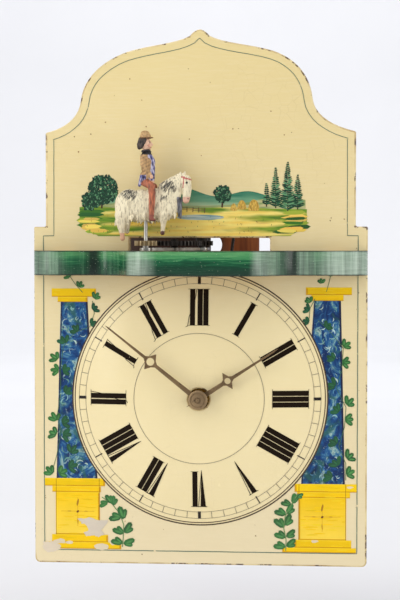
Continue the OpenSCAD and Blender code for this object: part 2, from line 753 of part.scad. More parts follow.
module pendulum_bob() {
  rim_t = bob_t * 0.4;
  color("goldenrod") in_place() difference() {
    translate([0, rod_y, bob_z]) rotate([90, 0, 0]) rotate_extrude()
      polygon([[0, -bob_t / 2], [bob_r * 0.4, -bob_t * 0.46], [bob_r * 0.75, -bob_t * 0.36],
        [bob_r, -rim_t / 2], [bob_r, rim_t / 2], [bob_r * 0.75, bob_t * 0.36], [bob_r * 0.4, bob_t * 0.46],
        [0, bob_t / 2]]);
    post(0, rod_y, rod_r + fixed_gap, bob_z - bob_r - 1, bob_z + bob_r + 1);
  }
}
module rating_nut() {
  color("goldenrod") in_place() difference() {
    post(0, rod_y, rod_r + 1.5, bob_z - bob_r - 2.4, bob_z - bob_r);
    post(0, rod_y, rod_r + fixed_gap, bob_z - bob_r - 4, bob_z - bob_r + 1);
  }
}

// Motion work and hands
module cannon_pinion() {
  color("goldenrod") in_place() difference() {
    union() {
      plate(cannon_y, cannon_y + cannon_t) polygon(gear_points(cannon_teeth, motion_module));
      rod(0, 0, cannon_r, minute_hand_y, cannon_y + cannon_t);
    }
    rod(0, 0, great_arbor_r + running, minute_hand_y - 1, cannon_y + cannon_t + 1);
  }
}
module minute_wheel() {
  color("goldenrod") in_place() translate([change_x, 0, 0]) difference() {
    union() {
      plate(cannon_y + 1, cannon_y + 1 + minute_wheel_t) rotate(180 / minute_teeth)
        polygon(gear_points(minute_teeth, motion_module));
      plate(hour_y - 1, cannon_y + 1) rotate(180) polygon(gear_points(change_teeth, motion_module));
    }
    rod(0, 0, arbor_r + running, hour_y - 3, cannon_y + 1 + minute_wheel_t + 1);
  }
}
module hour_wheel() {
  color("goldenrod") in_place() difference() {
    union() {
      plate(hour_y, hour_y + minute_wheel_t) rotate(180 / hour_teeth)
        polygon(gear_points(hour_teeth, motion_module));
      rod(0, 0, pipe_r, hour_hand_y, hour_y + minute_wheel_t + 2);
    }
    rod(0, 0, cannon_r + running, hour_hand_y - 1, hour_y + minute_wheel_t + 3);
  }
}
// Slim hand pointing up, with a pierced four-pointed star
module hand(length, star_at, tip_r, hole_r, bore_r) {
  root_w = 3.6;
  end_w = 1;
  star = [for (k = [0:3]) for (p = [[tip_r, 0], [hole_r + 1.1, 45]])
    [0, star_at] + pol(p[0], k * 90 + p[1])];
  difference() {
    union() {
      circle(r = bore_r + 2.2);
      polygon([[-root_w / 2, 0], [root_w / 2, 0], [end_w / 2, length - 3], [0, length],
        [-end_w / 2, length - 3]]);
      polygon([[-root_w / 2, 0], [0, -bore_r - 6], [root_w / 2, 0]]);
      polygon(star);
    }
    circle(r = bore_r);
    translate([0, star_at]) circle(r = hole_r);
  }
}
module minute_hand() {
  color("dimgray") in_place() plate(minute_hand_y, minute_hand_y + hand_t) rotate(-minute_angle)
    hand(minute_hand_l, minute_star, star_r, 2.8, cannon_r + fixed_gap);
}
module hour_hand() {
  color("dimgray") in_place() plate(hour_hand_y, hour_hand_y + hand_t) rotate(-hour_angle)
    hand(hour_hand_l, hour_star, star_r, 2.2, pipe_r + fixed_gap);
}
module hand_collet() {
  color("dimgray") in_place() translate([0, minute_hand_y, 0]) rotate([90, 0, 0]) rotate_extrude()
    polygon([[0, 0], [collet_r, 0], [collet_r, collet_t * 0.5], [collet_r - 0.8, collet_t * 0.7],
      [3, collet_t], [1.4, collet_t], [1.2, collet_t + 0.8], [0, collet_t + 1]]);
}

// Strike train
module strike_arbor() {
  color("dimgray") in_place()
    rod(0, 0, great_arbor_r, middle_y + bar_t / 2 + free_gap, count_y + wheel_t + 0.6);
}
module strike_wheel() {
  pitch_r = strike_teeth * strike_module / 2;
  color("goldenrod") in_place() plate(strike_wheel_y, strike_wheel_y + wheel_t) rotate(90)
    crossed_wheel(pin_wheel_points(strike_teeth, strike_pins, strike_module, pin_pitch_r),
      pitch_r - 4.5, 8, great_arbor_r + fixed_gap, 4);
}
module strike_sprocket() { color("goldenrod") in_place() sprocket(strike_sprocket_y); }
// The notches follow the sums of the blows from one to twelve
module count_wheel() {
  count_r = 24;
  notch_d = 3;
  color("goldenrod") in_place() plate(count_y, count_y + wheel_t) difference() {
    circle(r = count_r);
    for (hour = [1:12]) rotate(hour * (hour + 1) / 2 * 360 / 78)
      translate([count_r - notch_d, -0.8]) square([notch_d + 1, 1.6]);
    crossings(count_r - 7, 7, 4);
    circle(r = great_arbor_r + fixed_gap);
  }
}
module pin_arbor() {
  color("dimgray") in_place() union() {
    rod(0, pin_z, arbor_r, middle_y + bar_t * 0.7, pendulum_y - 1);
    lantern(pin_z, strike_pins, strike_module,
      strike_wheel_y - lantern_room, strike_wheel_y + wheel_t + lantern_room);
  }
}
lift_pins = 8;
lift_pin_l = 3;
module pin_wheel() {
  color("goldenrod") in_place() translate([0, 0, pin_z]) union() {
    plate(pin_wheel_y, pin_wheel_y + wheel_t) second_pattern();
    for (k = [0:lift_pins - 1]) {
      p = pol(second_module * second_teeth / 2 - 2.2, k * 360 / lift_pins);
      rod(p[0], p[1], lift_pin_r, pin_wheel_y - lift_pin_l, pin_wheel_y + wheel_t / 2);
    }
  }
}
module fly_arbor() {
  color("dimgray") in_place() union() {
    rod(0, fly_z, arbor_r, middle_y + bar_t * 0.7, pendulum_y - 1);
    lantern(fly_z, pinion_pins, second_module,
      pin_wheel_y - lantern_room, pin_wheel_y + wheel_t + lantern_room);
  }
}
fly_r = 10;
module fly() {
  fly_t = 1;
  fly_y0 = strike_y + 3;
  fly_y1 = pin_wheel_y - lantern_room - lantern_cap_t - 1.5;
  color("goldenrod") in_place() difference() {
    union() {
      box(-fly_r, fly_r, fly_y0, fly_y1, fly_z - fly_t / 2, fly_z + fly_t / 2);
      rod(0, fly_z, arbor_r + 1.2, fly_y0, fly_y1);
    }
    rod(0, fly_z, arbor_r + fixed_gap, strike_y, pin_wheel_y);
  }
}
// The hammer wire leans out so that its own weight rests it beside the bell's inner wall
hammer_top = mouth_z + hammer_r + 2;
head_l = 9;
hammer_out = bell_r - bell_wall - head_l / 2 - 2.5;
hammer_lean = atan2(hammer_out - hammer_x, hammer_top - hammer_z);
hammer_l = norm([hammer_out - hammer_x, hammer_top - hammer_z]);
tail_l = hammer_z - pin_z - second_module * second_teeth / 2 + 1;
module hammer_arbor() {
  color("dimgray") in_place() union() {
    rod(hammer_x, hammer_z, arbor_r, middle_y + 1, pendulum_y - 1);
    translate([hammer_x, hammer_y, hammer_z]) rotate([0, hammer_lean, 0]) cylinder(r = wire_r, h = hammer_l);
    translate([hammer_x, pin_wheel_y - lift_pin_l / 2, hammer_z]) rotate([0, 176, 0])
      cylinder(r = wire_r, h = tail_l);
  }
}
module hammer_head() {
  color("dimgray") in_place() difference() {
    translate([hammer_out - head_l / 2, hammer_y, hammer_top - hammer_r]) rotate([0, 90, 0])
      cylinder(r = hammer_r, h = head_l);
    translate([hammer_x, hammer_y, hammer_z]) rotate([0, hammer_lean, 0])
      cylinder(r = wire_r + fixed_gap, h = hammer_l + 8);
  }
}

// Swinging arm, idler and rider, drawn with the arm along +X and then turned
module on_arm() {
  in_place() translate([0, pivot_y, 0]) rotate(arm_turn) children();
}
arm_w = 6;
module rider_arm() {
  color("lightgray") on_arm() difference() {
    union() {
      post(0, 0, stud_r + 3, arm_z, arm_top);
      post(arm_l, 0, post_r + 3, arm_z, arm_top);
      post(idler_l, 0, post_r + 3, arm_z, arm_top);
      box(0, arm_l, -arm_w / 2, arm_w / 2, arm_z, arm_top);
    }
    post(0, 0, stud_r + running, arm_z - 1, arm_top + 1);
    post(arm_l, 0, post_r + running, arm_z - 1, arm_top + 1);
    post(idler_l, 0, post_r + fixed_gap, arm_z - 1, arm_top + 1);
  }
}
module idler_pin() {
  color("dimgray") on_arm() union() {
    post(idler_l, 0, post_r, arm_z, gear_top + free_gap);
    post(idler_l, 0, post_r + 1.4, arm_top, gear_z - free_gap / 2);
    post(idler_l, 0, post_r + 1.2, gear_top + free_gap / 2, gear_top + 1.2);
  }
}
module idler_wheel() {
  color("goldenrod") on_arm() translate([idler_l, 0, gear_z])
    toothed_wheel(idler_teeth, post_r + running, 180 / idler_teeth);
}
module rider_wheel() {
  color("goldenrod") on_arm() translate([arm_l, 0, gear_z]) toothed_wheel(sun_teeth, post_r + fixed_gap, 0);
}
post_in = 5;
module rider_post() {
  color("dimgray") on_arm() union() {
    post(arm_l, 0, post_r, arm_z - 2, girth_z + post_in);
    post(arm_l, 0, post_r + 1.6, arm_z - 2, arm_z - free_gap / 2);
    post(arm_l, 0, post_r + 1, arm_top + free_gap / 2, gear_z);
  }
}

// Figure outlines, measured from the post and from the girth of the horse
horse_line = [[-21.8, 18], [-19, 21.5], [-13, 24.3], [-4, 25], [4, 25.5], [10, 28.5], [16, 32.5], [22, 35],
  [27, 35], [28.5, 37], [30.5, 33], [32.5, 30.5], [31.8, 24], [30.6, 18], [28.5, 14.2], [25.5, 14.5],
  [24.5, 19], [22.5, 19.5], [21.8, 12], [18.5, 5.5], [15, 3.5], [14, -1], [14, -6], [12, -8], [9.8, -6.5],
  [10.8, -1], [9, 3.5], [5, 2], [0, -0.2], [-6, -0.5], [-11, -0.5], [-13.5, -5], [-14.6, -11], [-18.4, -11.5],
  [-19, -7], [-20.2, -1], [-21.8, 8]];
body_line = [[-4, 26.6], [0, 26.8], [4, 27], [7, 28], [7.4, 34], [7, 40], [6, 45], [3, 49.5], [0, 50.4],
  [-3, 49.5], [-4.5, 44], [-4, 39], [-2, 34], [-3.6, 30]];
head_c = [0, 56];
head_r = 4.8;
hat_line = [[-5.5, 58.4], [5.6, 60], [3.6, 61.4], [2.6, 65.4], [-2.4, 65], [-3.8, 60.6]];
leg_line = [[-3, 24], [-2, 29], [3, 30.4], [7, 29], [7.4, 26.5], [6.8, 19], [5.9, 10], [5.8, 5], [7.6, 2.4],
  [7, 1], [1.9, 1], [1.4, 4], [1.9, 11], [0.6, 18]];
module figure_plate(t0, t1) {
  in_place() translate([post_x, post_y, girth_z]) plate(t0, t1) children();
}
module horse() {
  color("whitesmoke") difference() {
    figure_plate(-horse_t / 2, horse_t / 2) polygon(curve(horse_line, 3));
    on_arm() post(arm_l, 0, post_r + fixed_gap, arm_z, girth_z + post_in + fixed_gap);
  }
}
leg_y = horse_t / 2 + fixed_gap;
module rider() {
  color("saddlebrown") union() {
    figure_plate(-horse_t / 2, horse_t / 2) polygon(curve(body_line, 3));
    figure_plate(-horse_t * 0.45, horse_t * 0.45) union() {
      translate(head_c) circle(r = head_r);
      translate([-2, 49]) square([4, 4]);
      polygon(hat_line);
    }
    figure_plate(-leg_y - leg_t, -leg_y) polygon(curve(leg_line, 3));
    figure_plate(leg_y, leg_y + leg_t) polygon(curve(leg_line, 3));
    figure_plate(-leg_y - leg_t, leg_y + leg_t) translate([-1, 27]) square([6.5, 2.4]);
  }
}

shield();
shield_blocks();
gallery_rail();
gallery_floor();
gallery_blocks();
top_board();
bottom_board();
front_bar();
middle_bar();
rear_bar();
back_board();
front_bushes();
middle_bushes();
rear_bushes();
bell_post();
bell();
bell_nut();
rider_stud();
sun_wheel();
stud_nut();
change_stud();
great_arbor();
great_wheel();
going_sprocket();
cannon_pinion();
minute_hand();
hand_collet();
minute_wheel();
hour_wheel();
hour_hand();
second_arbor();
second_wheel();
escape_arbor();
escape_wheel();
anchor_arbor();
anchor();
pendulum_rod();
pendulum_bob();
rating_nut();
strike_arbor();
strike_wheel();
strike_sprocket();
count_wheel();
pin_arbor();
pin_wheel();
fly_arbor();
fly();
hammer_arbor();
hammer_head();
rider_arm();
idler_pin();
idler_wheel();
rider_post();
rider_wheel();
horse();
rider();
left_door();
right_door();
left_knob();
right_knob();
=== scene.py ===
import json
import math
import random

import bmesh
import bpy
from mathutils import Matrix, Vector, noise


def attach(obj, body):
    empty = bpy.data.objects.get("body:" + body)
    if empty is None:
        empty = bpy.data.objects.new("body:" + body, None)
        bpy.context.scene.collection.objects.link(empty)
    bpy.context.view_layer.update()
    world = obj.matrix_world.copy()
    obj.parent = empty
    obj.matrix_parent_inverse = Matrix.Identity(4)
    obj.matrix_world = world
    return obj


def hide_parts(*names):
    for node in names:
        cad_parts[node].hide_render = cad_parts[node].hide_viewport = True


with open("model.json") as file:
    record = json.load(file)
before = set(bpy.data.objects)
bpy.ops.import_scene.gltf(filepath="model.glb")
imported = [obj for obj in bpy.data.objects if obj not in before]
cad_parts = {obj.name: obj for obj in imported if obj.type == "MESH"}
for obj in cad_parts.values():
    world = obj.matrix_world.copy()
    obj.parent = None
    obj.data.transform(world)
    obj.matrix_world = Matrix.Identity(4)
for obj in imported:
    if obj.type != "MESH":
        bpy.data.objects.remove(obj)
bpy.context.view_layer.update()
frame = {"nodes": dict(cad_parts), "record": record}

bl_info = {
    "name": "Lacquered shield clock",
    "version": (1, 0, 0),
    "blender": (4, 5, 0),
    "location": "3D View > Sidebar > Shield Clock",
    "description": "Dresses the packed shield clock with paint, lacquer, wood and brass",
    "category": "Object",
}

# Places in the clock's own millimetres: x right, y back from the shield's rear face, z up from the hand arbor
WALL_Y = 114.0
HANG_Z = 109.0
FACE_Y = -9.0
DIAL_R = 92.0
DOME_RISE = 9.0
DOME_R = (DIAL_R**2 + DOME_RISE**2) / (2 * DOME_RISE)
NECK_LEAN = 2.5
RAIL_HALF = 119.0
POST_X = -36.911
POST_Y = -22.911
GIRTH_Z = 124.0

# Corners of a CAD mesh closer than this, in metres, are merged, and edges sharper than this angle are rounded
MERGE_GAP = 0.000005
SHARP_DEG = 32

# Each stroke of paint lies this many millimetres above the one before it, in rounds of so many strokes
STROKE_RISE = 0.0003
STROKE_ROUND = 60


def depth(y):
    """A depth in the clock's millimetres as metres from the wall."""
    return (y - WALL_Y) / 1000


def height(z):
    """A height in the clock's millimetres as metres from the hanging hole."""
    return (z - HANG_Z) / 1000


def row(x, y, z):
    """A place in the clock's millimetres as metres from the hanging hole."""
    return Vector((x / 1000, depth(y), height(z)))


def board(x, z, lift, domed):
    """A place on the shield's front, or on the dial's dome."""
    y = FACE_Y - lift
    r2 = x * x + z * z
    if domed and r2 < DIAL_R**2:
        y -= math.sqrt(DOME_R**2 - r2) - (DOME_R - DOME_RISE)
    return row(x, y, z)


def figure(u, v, w):
    """A place measured from the rider's post and the horse's girth."""
    return row(POST_X + u, POST_Y + v, GIRTH_Z + w)


def clamp(t, low=0.0, high=1.0):
    return min(high, max(low, t))


def between(a, b, t):
    """The place or colour at a share t of the way from a to b."""
    return tuple(p + (q - p) * t for p, q in zip(a, b))


# Colours
def lin(r, g, b):
    """An sRGB colour from 0 to 255 as linear numbers."""
    out = []
    for v in (r, g, b):
        v /= 255
        out.append(v / 12.92 if v <= 0.04045 else ((v + 0.055) / 1.055) ** 2.4)
    return tuple(out)


def blend(a, b, t):
    """A colour between two, with its share kept from 0 to 1."""
    return between(a, b, clamp(t))


def shade(colour, k):
    return tuple(v * k for v in colour)


def tint(rng, colour, spread):
    """A colour a little lighter or darker, as from a loaded brush."""
    k = 1 + rng.uniform(-spread, spread)
    return tuple(max(0.0, c * k * (1 + rng.uniform(-spread, spread) * 0.35)) for c in colour)


# Working on one object at a time
def new_object(name, data):
    obj = bpy.data.objects.new(name, data)
    bpy.context.scene.collection.objects.link(obj)
    return obj


def only(obj):
    bpy.ops.object.select_all(action="DESELECT")
    obj.select_set(True)
    bpy.context.view_layer.objects.active = obj


def edit_all(obj):
    """Opens one object in edit mode with all of it selected."""
    only(obj)
    bpy.ops.object.mode_set(mode="EDIT")
    bpy.ops.mesh.select_all(action="SELECT")


def apply(obj, kind, **values):
    """Adds a modifier with these values and applies it."""
    only(obj)
    mod = obj.modifiers.new(kind, kind)
    for key, value in values.items():
        setattr(mod, key, value)
    bpy.ops.object.modifier_apply(modifier=mod.name)


def cover(obj, *finishes):
    """Gives a piece these finishes alone."""
    obj.data.materials.clear()
    for finish in finishes:
        obj.data.materials.append(finish.material)


def belong(obj, body, replaces=()):
    """Says which body carries a piece and hides the CAD nodes it stands for."""
    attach(obj, body)
    if replaces:
        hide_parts(*replaces)


def dress(node, finishes, body, edge, segments=2, flat_deg=0.8, smooth_deg=SHARP_DEG):
    """Puts a merged copy with rounded edges in a CAD node's place, the rounding in the second finish."""
    obj = new_object(node + "_dressed", frame["nodes"][node].data.copy())
    edit_all(obj)
    bpy.ops.mesh.customdata_custom_splitnormals_clear()
    bpy.ops.mesh.remove_doubles(threshold=MERGE_GAP)
    bpy.ops.mesh.dissolve_limited(angle_limit=math.radians(flat_deg))
    bpy.ops.object.mode_set(mode="OBJECT")
    cover(obj, *finishes)
    apply(obj, "BEVEL", width=edge, segments=segments, limit_method="ANGLE",
          angle_limit=math.radians(SHARP_DEG), material=1)
    bpy.ops.object.shade_smooth_by_angle(angle=math.radians(smooth_deg))
    belong(obj, body, [node])


class Finish:
    """A material built from nodes on object coordinates."""

    def __init__(self, name, rough=0.5, metal=0.0, coat=0.0, coat_rough=0.1, level=0.5):
        self.material = bpy.data.materials.new(name)
        self.material.use_nodes = True
        self.tree = self.material.node_tree
        self.shader = self.tree.nodes["Principled BSDF"]
        self.shader.inputs["Roughness"].default_value = rough
        self.shader.inputs["Metallic"].default_value = metal
        self.shader.inputs["Coat Weight"].default_value = coat
        self.shader.inputs["Coat Roughness"].default_value = coat_rough
        self.shader.inputs["Specular IOR Level"].default_value = level
        self.coords = self.node("ShaderNodeTexCoord", {}).outputs["Object"]

    def put(self, socket, value):
        """Links a node's output to a socket, or sets the socket to a constant."""
        if isinstance(value, bpy.types.NodeSocket):
            self.tree.links.new(value, socket)
        elif socket.type == "RGBA":
            socket.default_value = (*value, 1)
        else:
            socket.default_value = value

    def node(self, kind, inputs, **settings):
        n = self.tree.nodes.new(kind)
        for key, value in settings.items():
            setattr(n, key, value)
        for key, value in inputs.items():
            self.put(n.inputs[key], value)
        return n

    def place(self, stretch, move):
        mapping = {"Vector": self.coords, "Scale": stretch, "Location": move}
        return self.node("ShaderNodeMapping", mapping).outputs[0]

    def grain(self, scale, detail=4.0, rough=0.55, warp=0.0, stretch=(1, 1, 1), move=(0, 0, 0)):
        """Soft noise, drawn out along an axis where stretch is small."""
        looks = {"Scale": scale, "Detail": detail, "Roughness": rough, "Distortion": warp}
        return self.node("ShaderNodeTexNoise", {"Vector": self.place(stretch, move), **looks}).outputs["Fac"]

    def cells(self, scale, feature="F1", stretch=(1, 1, 1)):
        inputs = {"Vector": self.place(stretch, (0, 0, 0)), "Scale": scale}
        return self.node("ShaderNodeTexVoronoi", inputs, feature=feature).outputs["Distance"]

    def axis(self, name):
        return self.node("ShaderNodeSeparateXYZ", {0: self.coords}).outputs[name]

    def painted(self):
        """The colour that the brush left on the piece."""
        return self.node("ShaderNodeAttribute", {}, attribute_name="paint").outputs["Color"]

    def reckon(self, operation, a, b=0.0):
        return self.node("ShaderNodeMath", {0: a, 1: b}, operation=operation).outputs[0]

    def plus(self, a, b):
        return self.reckon("ADD", a, b)

    def minus(self, a, b):
        return self.reckon("SUBTRACT", a, b)

    def times(self, a, b):
        return self.reckon("MULTIPLY", a, b)

    def span(self, value, low, high, to_low=0.0, to_high=1.0):
        ends = {"From Min": low, "From Max": high, "To Min": to_low, "To Max": to_high}
        return self.node("ShaderNodeMapRange", {"Value": value, **ends}).outputs[0]

    def ramp(self, value, stops):
        n = self.node("ShaderNodeValToRGB", {"Fac": value})
        marks = n.color_ramp.elements
        while len(marks) < len(stops):
            marks.new(1)
        for mark, (place, colour) in zip(marks, stops):
            mark.position = place
            mark.color = (*colour, 1)
        return n.outputs["Color"]

    def mask(self, value, stops):
        """A ramp of greys, to be used as a share."""
        return self.ramp(value, [(place, (grey, grey, grey)) for place, grey in stops])

    def mix(self, share, a, b, mode="MIX"):
        inputs = {0: share, 6: a, 7: b}
        return self.node("ShaderNodeMix", inputs, data_type="RGBA", blend_type=mode).outputs[2]

    def toned(self, value, factors):
        return self.mix(1.0, value, factors, "MULTIPLY")

    def wear(self, relief, strength, depth_mm):
        inputs = {"Height": relief, "Strength": strength, "Distance": depth_mm / 1000}
        self.put(self.shader.inputs["Normal"], self.node("ShaderNodeBump", inputs).outputs[0])

    def colour(self, value):
        self.put(self.shader.inputs["Base Color"], value)

    def rough(self, value):
        self.put(self.shader.inputs["Roughness"], value)


class Brush:
    """Flat painted shapes on the board, gathered into one thin mesh that carries its colours."""

    def __init__(self, lift=0.16, domed=False):
        self.points, self.faces, self.colours = [], [], []
        self.lift, self.domed = lift, domed

    def shape(self, points, colour, lift=0.0):
        """One patch, in one colour or with a list of a colour for each corner."""
        first = len(self.points)
        tones = colour
        if not isinstance(colour, list):
            tones = [colour] * len(points)
            lift += STROKE_RISE * (len(self.faces) % STROKE_ROUND)
        if sum(a[0] * b[1] - b[0] * a[1] for a, b in zip(points, points[1:] + points[:1])) < 0:
            points, tones = points[::-1], tones[::-1]
        self.points += [board(x, z, self.lift + lift, self.domed) for x, z in points]
        self.faces.append(list(range(first, first + len(points))))
        self.colours += tones

    def wash(self, xs, low, high, steps, tone, lift=0.0):
        """A blended patch between two lines, with a tone for each place."""
        columns = []
        for x in xs:
            a, b = low(x), high(x)
            places = [(x, a + (b - a) * i / steps) for i in range(steps + 1)]
            columns.append([(p, tone(*p, i / steps)) for i, p in enumerate(places)])
        for left, right in zip(columns, columns[1:]):
            for i in range(steps):
                corners = [left[i], right[i], right[i + 1], left[i + 1]]
                self.shape([p for p, _ in corners], [t for _, t in corners], lift)

    def line(self, points, width, colour, closed=False, lift=0.0, taper=None):
        n = len(points)
        sides = []
        for i, (x, z) in enumerate(points):
            a = points[i - 1] if i or closed else points[i]
            b = points[(i + 1) % n] if i < n - 1 or closed else points[i]
            dx, dz = b[0] - a[0], b[1] - a[1]
            d = math.hypot(dx, dz) or 1
            w = width / 2 * (taper(i / (n - 1)) if taper else 1)
            sides.append(((x - dz / d * w, z + dx / d * w), (x + dz / d * w, z - dx / d * w)))
        for i in range(n if closed else n - 1):
            p, q = sides[i], sides[(i + 1) % n]
            self.shape([p[0], q[0], q[1], p[1]], colour, lift)

    def ring(self, radius, width, colour):
        steps = 240
        turn = [2 * math.pi * i / steps for i in range(steps)]
        self.line([(radius * math.cos(a), radius * math.sin(a)) for a in turn], width, colour, closed=True)

    def make(self, name, finish, thickness=0.09):
        """Turns the gathered shapes into one piece of the shield."""
        mesh = bpy.data.meshes.new(name)
        mesh.from_pydata(self.points, [], self.faces)
        paint = mesh.color_attributes.new("paint", "FLOAT_COLOR", "CORNER")
        for corner, tone in zip(paint.data, self.colours):
            corner.color = (*tone, 1)
        obj = new_object(name, mesh)
        edit_all(obj)
        bpy.ops.mesh.quads_convert_to_tris(quad_method="BEAUTY", ngon_method="CLIP")
        bpy.ops.object.mode_set(mode="OBJECT")
        apply(obj, "SOLIDIFY", thickness=thickness / 1000, offset=-1.0)
        cover(obj, finish)
        belong(obj, "clock")


def dab(x, z, angle, length, width, blunt=0.0):
    """A lens-shaped brush dab."""
    c, s = math.cos(angle), math.sin(angle)
    half = [(-0.5, 0.0), (-0.28, 0.42), (0.1, 0.5), (0.38, 0.3 + blunt), (0.5, 0.0)]
    line = half + [(u, -v) for u, v in half[-2:0:-1]]
    return [(x + u * length * c - v * width * s, z + u * length * s + v * width * c) for u, v in line]


# Outline of the shield
def bezier(a, b, c, d, n):
    out = []
    for i in range(n):
        t = i / n
        u = 1 - t
        shares = (u**3, 3 * u * u * t, 3 * u * t * t, t**3)
        out.append(tuple(sum(share * p[k] for share, p in zip(shares, (a, b, c, d))) for k in (0, 1)))
    return out


def shield_half(out):
    """The right half of the shield's outline from the step to the tip, with its neck moved outwards."""
    step, neck, crown, foot, tip = (110.5, 189), (82.5 + out, 212), (52, 246), (7, 257), (0, 261.5)
    return (
        bezier(step, (97, 192), (84 + out, 199), neck, 10)
        + bezier(neck, (80.5 + out, 229), (68, 240.5), crown, 12)
        + bezier(crown, (36, 251), (17, 251.5), foot, 8)
        + bezier(foot, (4.5, 260), (2, 261.5), tip, 4)
        + [tip]
    )


def inset(points, d):
    out = []
    for i, (x, z) in enumerate(points):
        a, b = points[max(0, i - 1)], points[min(len(points) - 1, i + 1)]
        dx, dz = b[0] - a[0], b[1] - a[1]
        n = math.hypot(dx, dz)
        out.append((x - dz / n * d, z + dx / n * d))
    return out


# Finishes
def lacquer_finish(c):
    """Cream lacquer with clouds, brush drag and fine cracks in front, and bare wood behind."""
    coat = 0.42
    f = Finish("cream_lacquer", rough=0.2, coat=coat, coat_rough=0.13)
    across, up = f.axis("X"), f.axis("Z")
    base = f.mix(f.span(up, height(-121), height(259)), tuple(c.cream_low), tuple(c.cream_high))
    dial_up = f.plus(up, HANG_Z / 1000)
    reach = f.reckon("SQRT", f.plus(f.times(across, across), f.times(dial_up, dial_up)))
    on_dial = f.span(reach, (DIAL_R + 0.5) / 1000, (DIAL_R - 1.5) / 1000)
    base = f.mix(on_dial, base, tuple(c.dial_cream))
    cloud = f.grain(9, 3)
    base = f.mix(f.span(cloud, 0.15, 0.85, 0, 0.22), base, lin(224, 198, 140))
    drag = f.grain(14, 4, stretch=(6, 6, 60))
    base = f.mix(f.span(drag, 0.45, 0.8, 0, 0.16), base, lin(246, 232, 198))
    crack = f.span(f.cells(120, "DISTANCE_TO_EDGE"), 0.0, 0.02, 1, 0)
    cracked = f.times(crack, f.span(cloud, 0.52, 0.7))
    base = f.mix(f.times(cracked, 0.16), base, lin(150, 118, 70))
    wood = f.grain(4.5, 6, 0.6, 0.7, stretch=(34, 34, 1.8))
    bare = f.ramp(wood, [(0.3, lin(104, 72, 40)), (0.5, lin(150, 112, 68)), (0.72, lin(178, 142, 94))])
    rear = f.span(f.axis("Y"), depth(-0.9), depth(-0.6))
    f.colour(f.mix(rear, base, bare))
    f.put(f.shader.inputs["Coat Weight"], f.span(rear, 0, 1, coat, 0.0))
    f.rough(f.plus(f.span(f.grain(40, 4), 0.3, 0.8, 0.19, 0.29), f.times(rear, 0.35)))
    f.wear(f.minus(f.grain(90, 4, stretch=(1, 1, 2.4)), f.times(crack, 0.2)), 0.04, 0.5)
    return f


def worn_edge_finish():
    """Lacquer that is chipped to the wood along the shield's edges."""
    f = Finish("worn_lacquer_edge", rough=0.4, coat=0.2)
    chip = f.span(f.grain(110, 6, 0.7), 0.55, 0.60)
    mottled = f.mix(f.span(f.grain(60, 4), 0.4, 0.7), lin(230, 210, 156), lin(190, 160, 106))
    f.colour(f.mix(chip, mottled, f.mix(f.grain(300, 2), lin(112, 82, 50), lin(70, 52, 34))))
    f.wear(chip, 0.25, 0.2)
    return f


def paint_finish(name, rough=0.34, chips=0.0, streak=(40, 40, 200), coat=0.3, level=0.35):
    """Oil paint whose colour comes from the brush, with brush marks and a few chips."""
    f = Finish(name, rough=rough, coat=coat, coat_rough=0.12, level=level)
    marks = f.grain(3.0, 5, 0.6, 0.4, stretch=streak)
    base = f.mix(f.span(marks, 0.3, 0.75, 0, 0.38), f.painted(), f.toned(f.painted(), (1.16, 1.14, 1.06)))
    base = f.mix(f.span(f.grain(55, 4), 0.35, 0.8, 0, 0.3), base, f.toned(base, (0.62, 0.64, 0.62)))
    if chips:
        chip = f.span(f.grain(150, 6, 0.7), 0.70 - chips, 0.73 - chips)
        base = f.mix(chip, base, lin(240, 222, 178))
    f.colour(base)
    f.rough(f.span(marks, 0.2, 0.8, rough - 0.1, rough + 0.12))
    f.wear(marks, 0.14, 0.25)
    return f


def marble_finish(c):
    """Blue marbling of the column shafts."""
    f = Finish("blue_marbling", rough=0.34, coat=0.1, level=0.3)
    dark, mid = tuple(c.blue_dark), tuple(c.blue_mid)
    swirl = f.grain(62, 5, 0.62, 2.2, stretch=(1, 1, 0.75))
    base = f.ramp(swirl, [(0.30, dark), (0.44, mid), (0.53, lin(30, 88, 142)), (0.585, lin(86, 138, 154)),
                          (0.63, lin(164, 192, 180)), (0.70, mid)])
    green = f.grain(48, 4, 0.55, 1.5, move=(0.3, 0, 0.1))
    base = f.mix(f.span(green, 0.54, 0.64, 0, 0.8), base, lin(40, 92, 84))
    wisp = f.grain(130, 4, 0.6, 2.5, stretch=(1.4, 1, 0.8), move=(0.1, 0, 0.4))
    base = f.mix(f.span(wisp, 0.60, 0.68, 0, 0.7), base, lin(166, 196, 194))
    shadow = f.grain(30, 3, move=(0.7, 0, 0.2))
    f.colour(f.mix(f.span(shadow, 0.5, 0.72, 0, 0.75), base, dark))
    f.wear(wisp, 0.15, 0.25)
    return f


